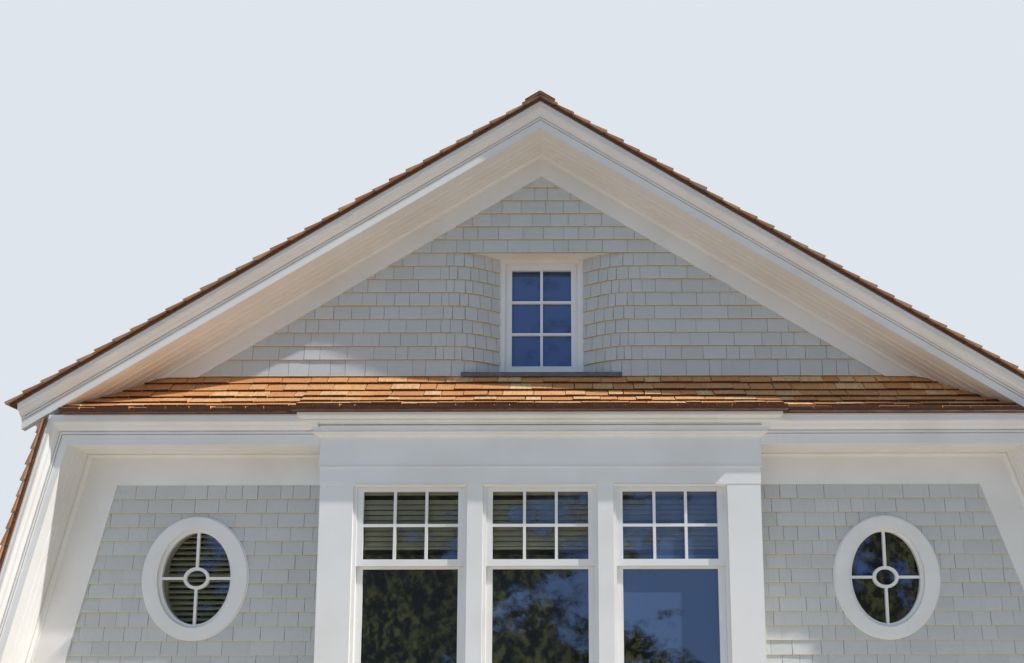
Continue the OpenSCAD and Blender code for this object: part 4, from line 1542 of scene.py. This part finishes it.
@dataclass(frozen=True)
class Studio:
    """Floor, world, lamps and camera."""

    camera_at: Point = (0.1368, -8.0, 0.755)
    focal: float = 921.5
    tilt: float = 0.1424
    roll: float = 0.002
    centre: Flat = (556.7, 536.3)
    size: Flat = (1024.0, 663.0)
    backdrop: Colour = linear(222, 229, 237)
    sky: Colour = (0.40, 0.65, 1.0)
    sky_strength: float = 0.37
    floor_seen: Colour = linear(196, 193, 187)
    floor_lit: Colour = linear(148, 144, 136)
    floor_reach: float = 600.0
    floor_corners: int = 96
    suns: tuple[Sun, ...] = (Sun("key", (-0.745, 0.204, -0.71), 4.2, 0.8, (1.0, 0.97, 0.93)),
                             Sun("fill", (0.30, 0.88, -0.28), 0.36, 50.0, (0.34, 0.62, 1.0)),
                             Sun("rear", (0.25, -0.85, -0.46), 1.1, 40.0, (1.0, 0.95, 0.87)))
    bounce_at: Point = (0.2, -3.1, 0.03)
    bounce_size: Flat = (13.0, 6.0)
    bounce_power: float = 140.0
    bounce_colour: Colour = (1.0, 0.83, 0.61)

    def floor(self) -> None:
        """Makes the plain pale floor."""
        mesh, count = bpy.data.meshes.new("floor"), self.floor_corners
        turns = [math.tau * i / count for i in range(count)]
        rim = [(self.floor_reach * math.cos(a), self.floor_reach * math.sin(a), 0.0) for a in turns]
        mesh.from_pydata(rim, [], [tuple(range(count))])
        graph = Graph("pale_floor")
        seen = self._seen(graph)
        graph.put(graph.shader.inputs["Base Color"], graph.mix(seen, self.floor_lit, self.floor_seen))
        graph.put(graph.shader.inputs["Roughness"], 0.9)
        mesh.materials.append(graph.material)
        floor = bpy.data.objects.new("floor", mesh)
        bpy.context.scene.collection.objects.link(floor)

    def world(self) -> None:
        """Makes the even light and the pale background."""
        world = bpy.data.worlds.new("studio")
        world.use_nodes = True
        world.node_tree.nodes.clear()
        nodes = NodeBuilder(world.node_tree)
        soft = nodes.add("ShaderNodeBackground", {0: self.sky, 1: self.sky_strength}).outputs[0]
        pale = nodes.add("ShaderNodeBackground", {0: self.backdrop, 1: 1.0}).outputs[0]
        mixed = nodes.add("ShaderNodeMixShader", {0: self._seen(nodes), 1: soft, 2: pale}).outputs[0]
        nodes.add("ShaderNodeOutputWorld", {0: mixed})
        bpy.context.scene.world = world

    @staticmethod
    def _seen(nodes: NodeBuilder) -> Socket:
        """Tells the rays that show the background, also in metal and through glass.

        Args:
            nodes: the tree that asks.

        Returns:
            1 for those rays and 0 for the rest.
        """
        rays = nodes.add("ShaderNodeLightPath").outputs
        direct = nodes.math("MAXIMUM", rays["Is Camera Ray"], rays["Is Glossy Ray"])
        return nodes.math("MAXIMUM", direct, rays["Is Transmission Ray"])

    def lamps(self) -> None:
        """Makes a key from the upper right, weak fills and a warm bounce from below."""
        for sun in self.suns:
            lamp = bpy.data.lights.new(sun.name, "SUN")
            lamp.energy, lamp.angle, lamp.color = sun.power, math.radians(sun.angle), sun.colour
            self._hang(sun.name, lamp, sun.aim, (0.0, 0.0, 8.0))
        bounce = bpy.data.lights.new("bounce", "AREA")
        bounce.shape, (bounce.size, bounce.size_y) = "RECTANGLE", self.bounce_size
        bounce.energy, bounce.color = self.bounce_power, self.bounce_colour
        holder = self._hang("bounce", bounce, (0.0, 0.0, 1.0), self.bounce_at)
        holder.visible_camera = holder.visible_glossy = holder.visible_transmission = False

    @staticmethod
    def _hang(name: str, lamp: bpy.types.Light, aim: Point, place: Point) -> Object:
        """Places one lamp and turns it the way it shines.

        Args:
            name: its name.
            lamp: the lamp.
            aim: the way it shines.
            place: where it hangs.

        Returns:
            Its object.
        """
        holder = bpy.data.objects.new(name, lamp)
        holder.location = place
        holder.rotation_euler = Vector(aim).to_track_quat("-Z", "Y").to_euler()
        bpy.context.scene.collection.objects.link(holder)
        return holder

    def camera(self) -> None:
        """Makes the camera, looking up a little from in front of the bay."""
        lens = bpy.data.cameras.new("view")
        width, height = self.size
        lens.sensor_width, lens.sensor_fit, lens.clip_end = 36.0, "HORIZONTAL", 2000.0
        lens.lens = 36.0 * self.focal / width
        lens.shift_x = (width / 2 - self.centre[0]) / width
        lens.shift_y = (self.centre[1] - height / 2) / width
        camera = bpy.data.objects.new("view", lens)
        turn = Matrix.Rotation(math.pi / 2 + self.tilt, 4, "X") @ Matrix.Rotation(-self.roll, 4, "Z")
        camera.matrix_world = Matrix.Translation(self.camera_at) @ turn
        bpy.context.scene.collection.objects.link(camera)
        bpy.context.scene.camera = camera

    def build(self) -> None:
        """Sets up the whole studio."""
        self.floor()
        self.world()
        self.lamps()
        self.camera()
        bpy.context.scene.view_settings.view_transform = "Standard"


def make_finishes() -> dict[str, Material]:
    """Builds every finish.

    Returns:
        The materials by name.
    """
    honey = (linear(182, 128, 84), linear(160, 106, 68), linear(194, 142, 96), linear(208, 162, 116))
    # The pent roof's cedar tones are paler than the slopes' as painted sunlight over the wood's own colour.
    pale = (linear(226, 158, 98), linear(212, 142, 84), linear(236, 176, 116), linear(248, 206, 150))
    return {
        "level": TrimPaint("white_trim_level", Run.LEVEL).material(),
        "upright": TrimPaint("white_trim_upright", Run.UPRIGHT).material(),
        "raked": TrimPaint("white_trim_raked", Run.RAKED).material(),
        "shutter": TrimPaint("shutter_paint", Run.LEVEL, colour=linear(226, 222, 178),
                             shade=linear(208, 202, 156)).material(),
        "blind": TrimPaint("blind_slats", Run.LEVEL, colour=linear(226, 222, 190),
                           shade=linear(204, 198, 160)).material(),
        "shingle": WallShinglePaint().material(),
        "cedar": Cedar("roof_cedar", honey, linear(84, 54, 36), 0.6).material(),
        # The pent cedar's very dark butt colour is partly painted shade on its eave.
        "pent_cedar": Cedar("pent_cedar", pale, linear(56, 26, 16), 0.10).material(),
        "boards": Timber("edge_boards", linear(96, 62, 42), linear(56, 36, 28)).material(),
        "timber": Timber("sawn_timber", linear(196, 168, 128), linear(160, 128, 90)).material(),
        "walls": PartyRender().material(),
        "flashing": LeadFlashing().material(),
        # The pane colours below are painted reflections of trees and sky.
        "gable_glass": WindowGlass(
            "gable_panes", dark=linear(66, 88, 132), warm=linear(72, 96, 142), cool=linear(78, 104, 156),
            coolness=0.6, drift=0.0, clear=0.15, shade=4.395).material(),
        "bay_glass": WindowGlass(
            "bay_panes", dark=linear(7, 9, 6), warm=linear(66, 68, 36), cool=linear(84, 108, 148),
            coolness=0.40, drift=0.12, clear=0.74, shade=2.60, blind=1.70).material(),
        "oval_glass": WindowGlass(
            "oval_panes", dark=linear(18, 20, 14), warm=linear(80, 80, 48), cool=linear(76, 104, 156),
            coolness=0.31, drift=0.0, clear=0.80, shade=2.60, right=0.75).material(),
    }


def main() -> None:
    """Builds every piece in turn."""
    logging.basicConfig(level=logging.INFO, format="%(name)s: %(message)s")
    finishes = make_finishes()
    tree = CourseTree()
    walls = WallCourses(finishes["shingle"])
    walls.gable().build(tree)
    walls.cheeks().build(tree)
    for side in Side:
        walls.side(side).build(tree)
    roofs = CedarRoofs(finishes["cedar"], finishes["pent_cedar"], finishes["boards"])
    for side in Side:
        name = side.name.lower()
        roofs.upper(side).build(tree, [f"upper_shingles_{name}"])
        roofs.lower(side).build(tree, [f"lower_shingles_{name}"])
    roofs.ridge().build(tree, ["ridge_cap"])
    roofs.pent().build(tree, ["pent_roof"])
    roofs.boarding()
    BayBlinds(finishes["blind"]).rows().build(tree)
    soffits = SoffitBoards(finishes["raked"], finishes["level"])
    soffits.raking()
    soffits.level()
    BayMouldings(finishes["level"]).build()
    Trim(finishes).dress()
    Studio().build()


if __name__ == "__main__":
    main()
